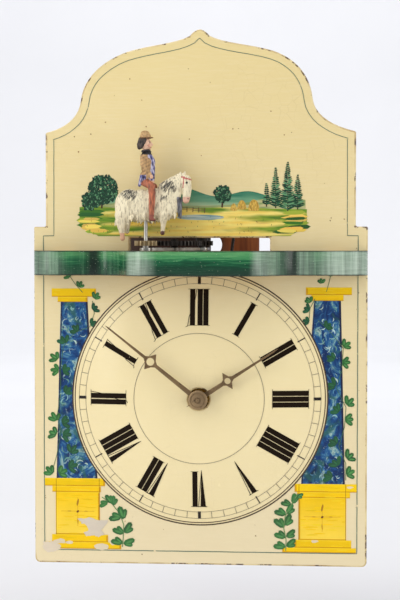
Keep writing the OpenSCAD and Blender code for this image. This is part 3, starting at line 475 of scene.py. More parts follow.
def rail_finish():
    """Green paint with painted shade low and painted highlight high along the bowed middle, combed on the
    wings, with painted highlights at the bends and ends, painted shade in the creases, and worn rims.
    """
    f = Finish("green_rail_paint", rough=0.3, coat=0.22, coat_rough=0.12, level=0.28)
    up = f.axis("Z")
    along = f.span(f.axis("X"), -RAIL_HALF / 1000, RAIL_HALF / 1000)
    flow = f.grain(5, 6, 0.66, 0.5, stretch=(9, 9, 130))
    # The bowed middle: painted shade along its lower half and a painted highlight along its upper half
    middle = f.ramp(
        f.span(f.plus(up, f.times(flow, 0.016)), height(95.5), height(114.5)),
        [(0.0, lin(2, 46, 28)), (0.36, lin(4, 62, 38)), (0.52, lin(16, 90, 54)), (0.66, lin(66, 138, 84)),
         (0.86, lin(96, 160, 100)), (1.0, lin(44, 112, 66))])
    comb = f.grain(4, 6, 0.66, stretch=(150, 50, 4))
    wings = f.ramp(comb, [(0.32, lin(6, 36, 22)), (0.46, lin(24, 76, 46)), (0.58, lin(58, 108, 72)),
                          (0.72, lin(126, 158, 128))])
    on_wing = f.mask(along, [
        (0.0, 0.9), (0.07, 0.75), (0.12, 0.3), (0.18, 0.75), (0.22, 0.35), (0.30, 0.5), (0.36, 0), (0.66, 0),
        (0.70, 0.8), (0.80, 0.95), (0.86, 0.6), (1.0, 0.95)])
    base = f.mix(on_wing, middle, wings)
    # Painted highlights: pale reflections painted on the bends of the bow and towards the wings' ends
    painted_highlight = f.mask(along, [
        (0.0, 0.32), (0.065, 0.28), (0.11, 0), (0.29, 0), (0.31, 0.6), (0.34, 0.6), (0.39, 0), (0.655, 0),
        (0.68, 0.5), (0.72, 0.42), (0.76, 0), (0.80, 0.45), (0.85, 0.2), (0.90, 0.8), (1.0, 0.72)])
    ragged = f.span(f.plus(comb, f.times(flow, 0.5)), 0.35, 0.95, 0.3, 1.0)
    base = f.mix(f.times(painted_highlight, ragged), base, lin(196, 212, 194))
    # Painted shade: near-black where the bow meets the wings in tight hollows
    crease_painted_shade = f.mask(along, [(0.165, 0), (0.18, 0.85), (0.197, 0.85), (0.212, 0), (0.735, 0), (0.768, 0.85),
                            (0.787, 0.85), (0.797, 0)])
    base = f.mix(crease_painted_shade, base, lin(8, 26, 18))
    low_rim, top_rim = f.span(up, height(88.7), height(88.1)), f.span(up, height(103.8), height(104.4))
    rubbed = f.span(f.grain(60, 4), 0.38, 0.6, 0.3, 0.85)
    base = f.mix(f.times(f.reckon("MAXIMUM", low_rim, top_rim), rubbed), base, lin(16, 34, 24))
    fleck = f.span(f.cells(5, stretch=(60, 60, 160)), 0.11, 0.07, 0, 0.7)
    f.colour(f.mix(fleck, base, lin(190, 210, 178)))
    f.rough(f.span(flow, 0.2, 0.8, 0.16, 0.36))
    f.wear(f.plus(flow, comb), 0.12, 0.2)
    return f


def dark_edge_finish():
    """Rubbed paint along the rail's edges."""
    f = Finish("rubbed_rail_edge", rough=0.5)
    rub = f.span(f.grain(90, 5, 0.65), 0.45, 0.6)
    f.colour(f.mix(rub, lin(22, 38, 28), lin(96, 74, 48)))
    f.wear(rub, 0.2, 0.2)
    return f


def wood_finish(name, dark, mid, light, along="Z", rough=0.5, coat=0.0, painted_shadow=0.0):
    """Straight-grained wood with the grain along one axis, and a painted shadow on the left half inside the
    case.
    """

    def stretched(wide, long):
        return tuple(long if axis == along else wide for axis in "XYZ")

    f = Finish(name, rough=rough, coat=coat, coat_rough=0.25)
    grain = f.grain(4.5, 6, 0.6, 0.7, stretch=stretched(30, 1.6))
    pores = f.grain(5, 3, 0.6, stretch=stretched(220, 9))
    base = f.ramp(grain, [(0.28, dark), (0.5, mid), (0.72, light)])
    base = f.mix(f.span(pores, 0.55, 0.7, 0, 0.5), base, shade(dark, 0.55))
    base = f.mix(f.span(f.grain(16, 4), 0.5, 0.8, 0, 0.4), base, shade(dark, 0.7))
    # Painted shadow: near-black darkening over the left half of the back board's front, standing for the
    # shade behind the slot
    if painted_shadow:
        inside = f.span(f.axis("Y"), depth(105.4), depth(106.8), 1.0, 0.0)
        left_half = f.span(f.axis("X"), 0.004, 0.014, painted_shadow, 0.0)
        base = f.mix(f.times(inside, left_half), base, lin(18, 12, 10))
    f.colour(base)
    f.rough(f.span(grain, 0.2, 0.8, rough + 0.1, rough - 0.1))
    f.wear(f.minus(grain, pores), 0.2, 0.2)
    return f


def metal_finish(name, clean, dull, spots, rough, metal=1.0, line=(1, 1, 1)):
    """Metal with a dull film and dark spots."""
    f = Finish(name, rough=rough, metal=metal)
    film = f.grain(70, 5, 0.6)
    spot = f.span(f.grain(260, 4, 0.6), 0.58, 0.68, 0, 0.8)
    f.colour(f.mix(spot, f.mix(f.span(film, 0.35, 0.7), clean, dull), spots))
    f.rough(f.span(film, 0.3, 0.8, rough - 0.08, rough + 0.16))
    f.wear(f.plus(f.grain(500, 3, stretch=line), spot), 0.08, 0.1)
    return f


def carved_finish(name, rough, stroke, bump):
    """Carved wood with brushed colour taken from the piece's own paint."""
    f = Finish(name, rough=rough, coat=0.15, coat_rough=0.3)
    hair = f.grain(4, 5, 0.65, 0.6, stretch=stroke)
    base = f.mix(f.span(hair, 0.52, 0.66, 0, 0.55), f.painted(), f.toned(f.painted(), (0.42, 0.38, 0.32)))
    base = f.mix(f.span(hair, 0.42, 0.28, 0, 0.3), base, f.toned(base, (1.25, 1.25, 1.22)))
    rub = f.span(f.grain(420, 5, 0.7), 0.64, 0.70, 0, 0.55)
    f.colour(f.mix(rub, base, lin(150, 112, 74)))
    f.wear(f.minus(f.grain(350, 3), hair), bump, 0.5)
    return f


# Carving from lumps of wood, each a middle (u, v, w) and three radii
def chain(parts, line, thickness=1.0):
    """Adds overlapping lumps along a line of (u, v, w, radius)."""
    for p, q in zip(line, line[1:]):
        steps = max(2, int(math.dist(p[:3], q[:3]) / (0.55 * min(p[3], q[3]))))
        for i in range(steps + 1):
            u, v, w, r = between(p, q, i / steps)
            parts.append((u, v, w, r, r * thickness, r))


def ball(cuts):
    """Corners and faces of a unit ball."""
    shape = bmesh.new()
    bmesh.ops.create_icosphere(shape, subdivisions=cuts, radius=1.0)
    shape.verts.index_update()
    out = [tuple(v.co) for v in shape.verts], [[v.index for v in f.verts] for f in shape.faces]
    shape.free()
    return out


def carve(name, parts, voxel, smooth, colour_at, finish, replaces=()):
    """Joins the lumps into one skin of the figure and paints each point by its place."""
    mesh = bpy.data.meshes.new(name)
    coarse, fine = ball(2), ball(3)
    points, faces = [], []
    for u, v, w, ru, rv, rw in parts:
        corners, sides = fine if max(ru, rw) > 2.5 else coarse
        first = len(points)
        points += [figure(u + x * ru, v + y * rv, w + z * rw) for x, y, z in corners]
        faces += [[first + k for k in side] for side in sides]
    mesh.from_pydata(points, [], faces)
    obj = new_object(name, mesh)
    apply(obj, "REMESH", mode="VOXEL", voxel_size=voxel, adaptivity=0.0)
    apply(obj, "SMOOTH", factor=0.5, iterations=smooth)
    bpy.ops.object.shade_smooth()
    paint = obj.data.color_attributes.new("paint", "FLOAT_COLOR", "POINT")
    base = figure(0, 0, 0)
    for point in obj.data.vertices:
        at = (point.co - base) * 1000
        paint.data[point.index].color = (*colour_at(at.x, at.y, at.z), 1)
    cover(obj, finish)
    belong(obj, "figure", replaces)


# Settings that the user can change, with lengths in metres
def colour_setting(name, description, *rgb):
    return bpy.props.FloatVectorProperty(name=name, description=description, subtype="COLOR",
                                         default=lin(*rgb))


def length_setting(name, description, default, least, most):
    return bpy.props.FloatProperty(name=name, description=description, subtype="DISTANCE", precision=5,
                                   default=default, min=least, max=most)


def power_setting(name, description, default):
    return bpy.props.FloatProperty(name=name, description=description, subtype="POWER",
                                   default=default, min=0.0, max=200.0)


class ShieldClockColours(bpy.types.PropertyGroup):
    cream_high: colour_setting("Upper cream", "Lacquer of the shield's head", 231, 211, 150)
    cream_low: colour_setting("Lower cream", "Lacquer near the shield's foot", 237, 221, 180)
    dial_cream: colour_setting("Dial cream", "Lacquer of the domed dial", 244, 227, 175)
    ink: colour_setting("Numeral black", "Paint of the numerals and rings", 26, 15, 3)
    border: colour_setting("Border line", "Thin line along the shield's edge", 92, 118, 100)
    yellow: colour_setting("Column yellow", "Capitals and plinths", 246, 202, 4)
    blue_dark: colour_setting("Dark marbling", "Ground of the column shafts", 4, 22, 56)
    blue_mid: colour_setting("Middle marbling", "Veins of the column shafts", 8, 52, 106)
    leaf: colour_setting("Leaf green", "Ivy and sprigs", 44, 104, 46)
    coat: colour_setting("Horse's coat", "White of the horse", 240, 228, 194)
    jacket: colour_setting("Jacket", "Rider's jacket", 206, 164, 112)
    trousers: colour_setting("Trousers", "Rider's trousers", 168, 94, 62)


class ShieldClockSizes(bpy.types.PropertyGroup):
    edge: length_setting("Board edge", "Rounding of wooden edges", 0.0007, 0.0002, 0.002)
    board_edge: length_setting("Shield edge", "Rounding of the shield's edges", 0.0012, 0.0002, 0.0025)
    rail_edge: length_setting("Rail edge", "Rounding of the gallery rail", 0.00035, 0.0001, 0.001)
    metal_edge: length_setting("Hand edge", "Rounding of the hands", 0.00022, 0.00005, 0.0004)
    bar: length_setting("Numeral stroke", "Width of the thick numeral strokes", 0.0036, 0.002, 0.006)
    hair: length_setting("Numeral hairline", "Width of the numeral hairlines", 0.00038, 0.0002, 0.001)
    voxel: length_setting("Carving detail", "Voxel of the carved figures", 0.00042, 0.00025, 0.001)
    seed: bpy.props.IntProperty(name="Brush seed", description="Seed of the hand-painted variation",
                                default=11, min=0, max=99)


class ShieldClockStage(bpy.types.PropertyGroup):
    lens: bpy.props.FloatProperty(name="Lens", description="Focal length of the camera",
                                  subtype="DISTANCE_CAMERA", default=92.3, min=20.0, max=200.0)
    key: power_setting("Key light", "Power of the left light", 8.4)
    fill: power_setting("Fill light", "Power of the right light", 6.3)
    room: bpy.props.FloatProperty(name="Room light", description="Strength of the even light around",
                                  default=0.5, min=0.0, max=4.0)


class SHIELDCLOCK_OT_case(bpy.types.Operator):
    """Dresses the wooden case, its bars and its doors"""
    bl_idname = "shieldclock.case"
    bl_label = "Wooden case"

    def execute(self, context):
        edge = context.scene.shield_clock_sizes.edge
        gallery_edge, knob_edge = 0.0002, 0.0003
        stain = (lin(58, 22, 12), lin(98, 42, 22), lin(136, 68, 38))
        warm = (lin(98, 46, 20), lin(150, 82, 40), lin(176, 104, 56))
        raw = (lin(120, 84, 46), lin(170, 128, 78), lin(196, 158, 104))
        upright = wood_finish("stained_upright", *stain, coat=0.15)
        lying = wood_finish("stained_lying", *stain, along="X", coat=0.15)
        # The back board's finish carries a painted shadow over its left half
        back_with_painted_shadow = wood_finish("back_board_painted_shadow", *warm, coat=0.1, painted_shadow=0.92)
        worn = wood_finish("rubbed_stain", lin(80, 40, 22), lin(126, 70, 40), lin(164, 106, 66))
        bare = wood_finish("bare_beech", *raw)
        bare_lying = wood_finish("bare_beech_lying", *raw, along="X")
        bare_worn = wood_finish("bare_beech_edge", lin(96, 66, 36), lin(140, 102, 60), lin(180, 142, 92))
        black = wood_finish("black_knob", lin(14, 10, 8), lin(26, 18, 14), lin(44, 30, 22), rough=0.35,
                            coat=0.4)
        for node, face in (("back_board", back_with_painted_shadow), ("top_board", lying), ("bottom_board", lying)):
            dress(node, [face, worn], "clock", edge)
        for node in ("left_door", "right_door"):
            dress(node, [upright, worn], node, edge)
        for node in ("front_bar", "middle_bar", "rear_bar", "shield_blocks"):
            dress(node, [bare, bare_worn], "clock", edge * 0.6)
        for node in ("gallery_floor", "gallery_blocks"):
            dress(node, [bare_lying, bare_worn], "clock", gallery_edge, segments=1)
        for node in ("left_knob", "right_knob"):
            dress(node, [black, black], node.replace("knob", "door"), knob_edge, smooth_deg=60)
        return {"FINISHED"}


class SHIELDCLOCK_OT_movement(bpy.types.Operator):
    """Gives the wheels, arbors, bell and pendulum their metals"""
    bl_idname = "shieldclock.movement"
    bl_label = "Movement"

    def execute(self, context):
        brass = metal_finish("aged_brass", lin(196, 158, 82), lin(150, 112, 58), lin(82, 64, 38), 0.3)
        dull = metal_finish("dull_brass", lin(190, 170, 132), lin(148, 128, 94), lin(70, 56, 40), 0.5,
                            metal=0.7)
        iron = metal_finish("oiled_iron", lin(84, 80, 76), lin(50, 46, 43), lin(48, 34, 25), 0.46)
        bright = metal_finish("tinned_wire", lin(196, 194, 188), lin(150, 146, 138), lin(98, 84, 68), 0.34)
        bronze = metal_finish("bell_bronze", lin(190, 148, 76), lin(142, 106, 54), lin(74, 62, 40), 0.24,
                              line=(1, 1, 8))
        finishes = {"brass": brass, "iron": iron, "bright_wire": bright, "bell_bronze": bronze}
        for part in frame["record"]["subparts"]:
            name, slot = part["node"], part["material_slot"]
            if slot in finishes:
                cover(frame["nodes"][name], dull if name == "rider_wheel" else finishes[slot])
        for name in ("bell", "pendulum_bob", "bell_post", "hammer_head"):
            only(frame["nodes"][name])
            bpy.ops.object.shade_smooth_by_angle(angle=math.radians(35))
        return {"FINISHED"}


class SHIELDCLOCK_OT_shield(bpy.types.Operator):
    """Lacquers the shield and its dome, with worn edges"""
    bl_idname = "shieldclock.shield"
    bl_label = "Shield"

    def execute(self, context):
        finishes = [lacquer_finish(context.scene.shield_clock_colours), worn_edge_finish()]
        dress("shield", finishes, "clock", context.scene.shield_clock_sizes.board_edge, segments=4,
              flat_deg=0.05, smooth_deg=12)
        return {"FINISHED"}


class SHIELDCLOCK_OT_border(bpy.types.Operator):
    """Paints the thin line along the edge of the shield"""
    bl_idname = "shieldclock.border"
    bl_label = "Border line"

    def execute(self, context):
        rng = random.Random(context.scene.shield_clock_sizes.seed)
        margin, step, wobble, head_z = 6.2, 4, 0.06, 116
        side = [(112, -110.4), (112.2, 115.4), (104.6, 115.6), (104.4, 183)]
        right, left = (side + inset(shield_half(out), margin)[1:-1] for out in (-NECK_LEAN, NECK_LEAN))
        tip = [(0, 254.5)]
        outline = [p for p in right if p[0] > -0.1] + tip + [(-x, z) for x, z in left[::-1] if x > -0.1]
        line = []
        for a, b in zip(outline, outline[1:] + outline[:1]):
            n = max(1, int(math.dist(a, b) / step))
            for i in range(n):
                x, z = between(a, b, i / n)
                line.append((x + rng.uniform(-wobble, wobble), z + rng.uniform(-wobble, wobble)))

        def finer_on_head(t):
            return 0.74 if line[round(t * (len(line) - 1))][1] > head_z else 1.0

        brush = Brush()
        colour = tuple(context.scene.shield_clock_colours.border)
        brush.line(line, 0.58, colour, closed=True, taper=finer_on_head)
        brush.make("border_line", paint_finish("border_paint", chips=0.06))
        return {"FINISHED"}


class SHIELDCLOCK_OT_specks(bpy.types.Operator):
    """Scatters the small dark specks of age over the bare lacquer"""
    bl_idname = "shieldclock.specks"
    bl_label = "Age specks"

    def execute(self, context):
        rng = random.Random(context.scene.shield_clock_sizes.seed + 9)
        brush = Brush()
        corners = 7
        turn = [2 * math.pi * k / corners for k in range(corners)]
        tones = (lin(124, 94, 58), lin(166, 132, 84), lin(148, 104, 66))
        for _ in range(150):
            x, z = rng.uniform(-114, 114), rng.uniform(-114, 236)
            size, tone = rng.uniform(0.2, 0.55), tint(rng, rng.choice(tones), 0.2)
            spoke = [rng.uniform(0.6, 1.2) * size for _ in turn]
            on_dial = math.hypot(x, z) < 97
            on_column = 54 < abs(x) < 110 and -112 < z < 90
            on_picture = -92 < x < 82 and 84 < z < 166
            off_head = z > 112 and abs(x) > 104 - max(0.0, z - 176) * 0.9
            if not (on_dial or on_column or on_picture or off_head):
                brush.shape([(x + r * math.cos(a), z + r * math.sin(a)) for r, a in zip(spoke, turn)], tone)
        brush.make("age_specks", paint_finish("speck_paint", coat=0.1, level=0.2))
        return {"FINISHED"}


def paint_tracks(ink):
    """The rings around the dial and the minute track."""
    brush = Brush(lift=0.2, domed=True)
    faint = tuple(v * 0.5 + k for v, k in zip(ink, (0.2, 0.17, 0.12)))
    brush.ring(91.2, 0.85, lin(62, 42, 24))
    brush.ring(89.5, 0.6, lin(78, 54, 30))
    for radius in (86.4, 81.6):
        brush.ring(radius, 0.24, faint)
    brush.ring(46.4, 0.3, faint)
    for minute in range(60):
        a = math.radians(6 * minute)
        quarter, fifth = minute % 15 == 0, minute % 5 == 0
        inner = 81.2 if quarter else 80.6 if fifth else 81.6
        wide = 2.1 if quarter else 0.75 if fifth else 0.34
        mark = [(r * math.sin(a), r * math.cos(a)) for r in (inner, 84, 86.6)]
        brush.line(mark, wide, ink if fifth else faint)
    brush.make("dial_track", paint_finish("track_paint", chips=0.03))


def paint_numerals(ink, bar, hair):
    """The Roman hours, upright along their spokes, with thick bars and hairlines in millimetres."""
    brush = Brush(lift=0.2, domed=True)
    low, high, gap = 52.2, 77.6, 0.5
    room = {"I": bar, "V": 5.4, "X": bar + 1.5}

    def place(hour, u, v):
        a = math.radians(30 * hour)
        return (v * math.sin(a) + u * math.cos(a), v * math.cos(a) - u * math.sin(a))

    def stroke(hour, line, width, taper=None):
        steps = []
        for p, q in zip(line, line[1:]):
            n = max(1, int(abs(q[1] - p[1]) / 3))
            steps += [between(p, q, i / n) for i in range(n)]
        steps.append(line[-1])
        brush.line([place(hour, u, v) for u, v in steps], width, ink, taper=taper)

    names = ["I", "II", "III", "IIII", "V", "VI", "VII", "VIII", "IX", "X", "XI", "XII"]
    for hour, name in enumerate(names, 1):
        total = sum(room[k] for k in name) + gap * (len(name) - 1)
        u = -total / 2
        for k in name:
            if k == "I":
                m = u + bar / 2
                stroke(hour, [(m, low), (m, high)], bar)
            elif k == "V":
                m = u + 1.9
                stroke(hour, [(m + 1.1, low - 1.2), (m, high)], bar * 1.05, taper=lambda t: 0.05 + 0.95 * t)
                stroke(hour, [(m + 1.2, low), (u + 5.3, high + 0.4)], hair)
                stroke(hour, [(u - 0.6, high), (u + 5.6, high + 0.02)], hair)
            else:
                m = u + bar / 2 + (0.2 if len(name) > 1 else 0.75)
                near, far = m - bar / 2, m + bar / 2
                stroke(hour, [(m, low), (m, high)], bar)
                hook = [(far + 1.2, high), (far - 0.4, high - 9), (near - 0.6, low + 6),
                        (near - 1.6, low - 0.6), (near - 3.0, low - 1.2)]
                stroke(hour, hook, hair)
            u += room[k] + gap
        for v in (low - 0.1, high + 0.1):
            left, right = -total / 2 - 1.1, total / 2 + 1.1
            if "V" in name and v < high:
                left += 6.2
            if name != "V" or v > high:
                brush.line([place(hour, u, v) for u in (left, (left + right) / 2, right)], 0.26, ink)
    brush.make("dial_numerals", paint_finish("numeral_paint", rough=0.45, chips=0.02, coat=0.0, level=0.1))


class SHIELDCLOCK_OT_dial(bpy.types.Operator):
    """Paints the rings, the minute track and the numerals on the dome"""
    bl_idname = "shieldclock.dial"
    bl_label = "Dial"

    def execute(self, context):
        s = context.scene.shield_clock_sizes
        ink = tuple(context.scene.shield_clock_colours.ink)
        paint_tracks(ink)
        paint_numerals(ink, s.bar * 1000, s.hair * 1000)
        return {"FINISHED"}


# Painted columns: blocks as (left, right, foot, top), shafts as a top and a foot of (left, right, height)
LEFT_BLOCKS = (
    (-106.3, -74.4, 71.9, 77.9), (-102.0, -80.4, 68.2, 71.9), (-111.8, -68.1, -64.2, -58.6),
    (-106.3, -71.2, -68.6, -64.2), (-103.9, -71.9, -99.3, -68.6), (-106.6, -66.0, -104.8, -99.3),
    (-111.6, -56.5, -109.6, -104.8),
)
RIGHT_BLOCKS = (
    (75.5, 107.9, 73.6, 79.0), (79.4, 102.0, 69.5, 73.6), (67.8, 111.8, -66.6, -60.8),
    (69.5, 107.1, -70.7, -66.6), (70.5, 104.4, -100.9, -70.7), (67.8, 108.0, -106.5, -100.9),
    (59.1, 111.4, -110.0, -106.5),
)
SHAFTS = (
    ((-99.8, -80.4, 68.3), (-103.2, -73.6, -58.7)),
    ((81.3, 100.2, 69.6), (72.4, 103.4, -60.9)),
)
WORN_PLINTH = [
    (-88, -88), (-80, -87), (-72, -88.5), (-66, -89), (-68, -93), (-71, -95), (-69, -99), (-73, -101),
    (-77, -99.6), (-82, -100.4), (-83.5, -97.4), (-80, -95.6), (-82, -92), (-85, -91),
]
WORN_CORNER = [
    (-112.8, -104.4), (-109, -105.4), (-104.6, -104.6), (-102.4, -106.2), (-100, -107.2), (-100.8, -109.8),
    (-104, -111.6), (-108, -112.6), (-112, -111.6), (-113.4, -108),
]
# Chips in the yellow as (x, z, half width)
CHIPS = (
    (-101, -104.4, 5), (-94, -105, 3.4), (-61, -104.8, 5), (-71, -108, 6), (82, -101.8, 3), (107, -63, 2.6),
)


def paint_block(brush, rng, yellow, x0, x1, z0, z1, side):
    """One yellow block with its light top, deep foot, shaded inner side and brush marks."""
    pale, deep = lin(248, 212, 40), lin(214, 158, 8)
    tone = tint(rng, yellow, 0.05)
    foot = lin(252, 216, 74) if z1 - z0 > 20 else tone
    brush.wash([x0, (x0 + x1) / 2, x1], lambda x: z0, lambda x: z1, 4, lambda x, z, t: between(foot, tone, t))
    brush.line([(x0, z0 + 0.35), (x1, z0 + 0.35)], 0.7, deep, lift=0.03)
    brush.line([(x0, z1 - 0.4), (x1, z1 - 0.4)], 0.6, pale, lift=0.03)
    edge = x1 - 0.7 if side < 0 else x0 + 0.7
    brush.line([(edge, z0), (edge, z1)], 1.3, deep, lift=0.02)
    for _ in range(int((x1 - x0) * (z1 - z0) / 34)):
        x, z = rng.uniform(x0 + 2, x1 - 2), rng.uniform(z0 + 0.6, z1 - 0.6)
        reach = min(9.0, 2 * (x - x0 - 0.6), 2 * (x1 - 0.6 - x))
        mark = dab(x, z, rng.uniform(-0.06, 0.06), reach, 0.7)
        brush.shape(mark, rng.choice((pale, tint(rng, yellow, 0.05), tint(rng, yellow, 0.1))), 0.04)


def paint_plinth_mark(brush, plinth, top):
    """The cross with a small flower on a plinth, and the plinth's dark sides."""
    x0, x1, z0, z1 = plinth
    m, h = (x0 + x1) / 2, (z0 + z1) / 2 + 1.5
    petal = lin(214, 164, 40)
    for line in ([(x0 + 4, h), (x1 - 4, h)], [(m, z0 + 6), (m, z1 - 4)]):
        brush.line(line, 0.35, lin(224, 172, 34), lift=0.05)
    brush.shape(dab(m, h + 6.4, math.radians(78), 5.4, 1.5), lin(182, 130, 34), 0.06)
    brush.shape(dab(m, h - 0.2, math.radians(40), 2.2, 1.5), lin(116, 66, 28), 0.06)
    brush.shape(dab(m, h - 7.2, math.radians(96), 4.6, 1.2), petal, 0.06)
    for angle in (0, math.pi):
        brush.shape(dab(m + 6 * math.cos(angle), h, angle, 3.4, 0.9), petal, 0.06)
    for x in (x0 + 0.4, x1 - 0.4):
        brush.line([(x, z0), (x, top)], 0.3, lin(150, 100, 14), lift=0.05)


def paint_wear(brush, rng):
    """Patches and chips where the yellow is rubbed away."""
    steps = 4
    for patch, bared in ((WORN_PLINTH, lin(214, 202, 184)), (WORN_CORNER, lin(226, 211, 188))):
        rubbed = []
        for p, q in zip(patch, patch[1:] + patch[:1]):
            for k in range(steps):
                x, z = between(p, q, k / steps)
                rubbed.append((x + rng.uniform(-0.5, 0.5), z + rng.uniform(-0.5, 0.5)))
        brush.shape(rubbed, bared, 0.07)
    turn = [k * 0.7 for k in range(9)]
    for x, z, size in CHIPS:
        chip = []
        for a in turn:
            reach, rise = size * rng.uniform(0.7, 1.1), 0.42 * size * rng.uniform(0.6, 1.1)
            chip.append((x + reach * math.cos(a), z + rise * math.sin(a)))
        brush.shape(chip, lin(228, 212, 182), 0.07)


def paint_veins(brush, rng, top, foot):
    """Curled veins and dark edges on one shaft, kept off the dial."""

    def thin_ends(t):
        return 0.2 + math.sin(math.pi * t)

    tones = (lin(128, 170, 174), lin(176, 202, 194), lin(74, 128, 158), lin(96, 146, 136), lin(38, 94, 146))
    for _ in range(150):
        left, right, z = between(top, foot, rng.random())
        x = rng.uniform(left + 2.5, right - 2.5)
        if math.hypot(x, z) < 95.5 or not foot[2] + 3 < z < top[2] - 3:
            continue
        colour = rng.choice(tones)
        start, reach = rng.uniform(0, 6.28), rng.uniform(2.5, 6.0)
        turn = [start + 0.42 * k for k in range(6)]
        curl = [(x + reach * 0.5 * math.cos(a), z + reach * 0.5 * math.sin(a)) for a in turn]
        brush.line(curl, rng.uniform(0.3, 0.95), tint(rng, colour, 0.2), taper=thin_ends)
    rungs = [between(top, foot, k / 12) for k in range(13)]
    for side, inward, width in ((1, -0.7, 1.3), (0, 0.7, 0.7)):
        line = [(rung[side] + inward, rung[2]) for rung in rungs]
        brush.line([p for p in line if math.hypot(*p) > 93.5], width, lin(12, 22, 58))


class SHIELDCLOCK_OT_columns(bpy.types.Operator):
    """Paints the two marbled columns with their yellow capitals and plinths"""
    bl_idname = "shieldclock.columns"
    bl_label = "Columns"

    def execute(self, context):
        c = context.scene.shield_clock_colours
        rng = random.Random(context.scene.shield_clock_sizes.seed + 1)
        blocks = Brush(lift=0.14)
        for side, rows in ((-1, LEFT_BLOCKS), (1, RIGHT_BLOCKS)):
            for sides in rows:
                paint_block(blocks, rng, tuple(c.yellow), *sides, side)
            _, _, cornice, _, plinth, _, _ = rows
            paint_plinth_mark(blocks, plinth, cornice[3])
        paint_wear(blocks, rng)
        blocks.make("column_blocks", paint_finish("yellow_paint", streak=(20, 20, 160), coat=0.08, level=0.2))

        shafts = Brush(lift=0.13)
        lengths = 16
        for top, foot in SHAFTS:
            rungs = [between(top, foot, i / lengths) for i in range(lengths + 1)]
            for (l0, r0, z0), (l1, r1, z1) in zip(rungs, rungs[1:]):
                shafts.shape([(l0, z0), (r0, z0), (r1, z1), (l1, z1)], (0, 0, 0))
        shafts.make("column_shafts", marble_finish(c), thickness=0.07)

        veins = Brush(lift=0.17)
        for top, foot in SHAFTS:
            paint_veins(veins, rng, top, foot)
        veins.make("column_veins", paint_finish("vein_paint"))
        return {"FINISHED"}


# Ivy on the columns: a stem, leaves as (x, z, turn) and the leaves' size
CLIMBING_IVY = (
    ([(-84, 75), (-90, 82), (-94, 88)], [(-93.0, 86.0, 2.4), (-86.8, 79.0, 1.0)], 3.6),
    ([(-77, 69), (-75.6, 60), (-79, 50)], [(-75.6, 70.6, 0.9), (-76.6, 62.4, 0.7), (-78.4, 52.4, 0.4)], 4.0),
    ([(-80, 50), (-90, 46), (-98, 36), (-100, 20), (-100, 4)],
     [(-88, 46.6, 2.2), (-96.6, 38.6, 2.0), (-102.2, 26.9, 2.5), (-98.4, 18.6, 0.3), (-101.4, 19.3, 3.0),
      (-97.4, 3.0, 0.6)], 4.8),
    ([(-100, 2), (-102.4, -12), (-100, -26), (-103, -42), (-107, -56)],
     [(-103.2, -17.2, 2.0), (-99.4, -18.6, 0.2), (-103.2, -27.0, 2.7), (-98.6, -27.0, -0.2),
      (-93.4, -40.2, 0.9), (-94.6, -50.2, 0.1), (-101.6, -55.0, 0.4), (-106.3, -55.8, 2.3)], 5.2),
    ([(90, 76), (91.6, 82), (93, 88)], [(91.6, 87.0, 1.2), (86.8, 81.8, 1.7)], 3.4),
    ([(82, 71), (78.4, 64), (77.6, 54)], [(79.0, 68.4, 2.2), (78.0, 62.6, 2.6), (77.8, 54.4, 2.8)], 4.0),
    ([(84, 56), (94, 46), (102, 36), (101, 22)],
     [(89.6, 50.0, 0.8), (101.8, 37.2, 0.5), (96.0, 28.0, 2.6), (101.4, 25.8, -0.1)], 4.6),
    ([(101, 20), (97, 8), (104, -6), (103, -20)],
     [(96.4, 9.0, 2.7), (104.4, -4.2, 0.7), (99.0, -9.4, 2.4), (103.4, -14.6, 0.0)], 5.0),
    ([(103, -20), (99, -34), (104, -46), (104, -58)],
     [(97.6, -32.0, 2.6), (104.6, -42.4, 0.7), (98.6, -47.6, 2.2), (104.4, -53.6, 0.4),
      (94.4, -56.0, 2.8)], 5.2),
)
# Sprigs beside the plinths: a stem, and leaves as (x, z, turn, length)
SPRIGS = (
    ([(-55.6, -108), (-55.0, -101), (-54.6, -92), (-57.4, -84), (-63, -77), (-70.4, -72)],
     [(-55.6, -105.6, 2.75, 8), (-55.0, -105.2, 0.15, 8), (-54.8, -98.4, 2.6, 8), (-54.4, -97.6, 0.8, 8.4),
      (-56.2, -86.6, 3.1, 8.6), (-55.4, -88.0, 1.65, 9), (-62.4, -78.0, 1.35, 6.6), (-63.6, -76.6, 2.0, 6.8),
      (-66.0, -75.6, 3.5, 6.4)]),
    ([(61.6, -109), (61.8, -101), (60.0, -92), (61.2, -84), (65.4, -76), (70.0, -68)],
     [(61.4, -106.4, 2.9, 8), (62.0, -105.6, 0.5, 7.6), (61.6, -99.6, 2.7, 8), (61.8, -98.8, 0.5, 7.4),
      (60.4, -92.4, 2.3, 8.6), (60.6, -90.6, 0.9, 8.4), (61.6, -83.2, 2.7, 8), (62.2, -82.4, 0.9, 7.8),
      (65.2, -76.0, 2.8, 6.8), (66.4, -75.0, 1.2, 7), (69.0, -70.0, 0.2, 5)]),
)


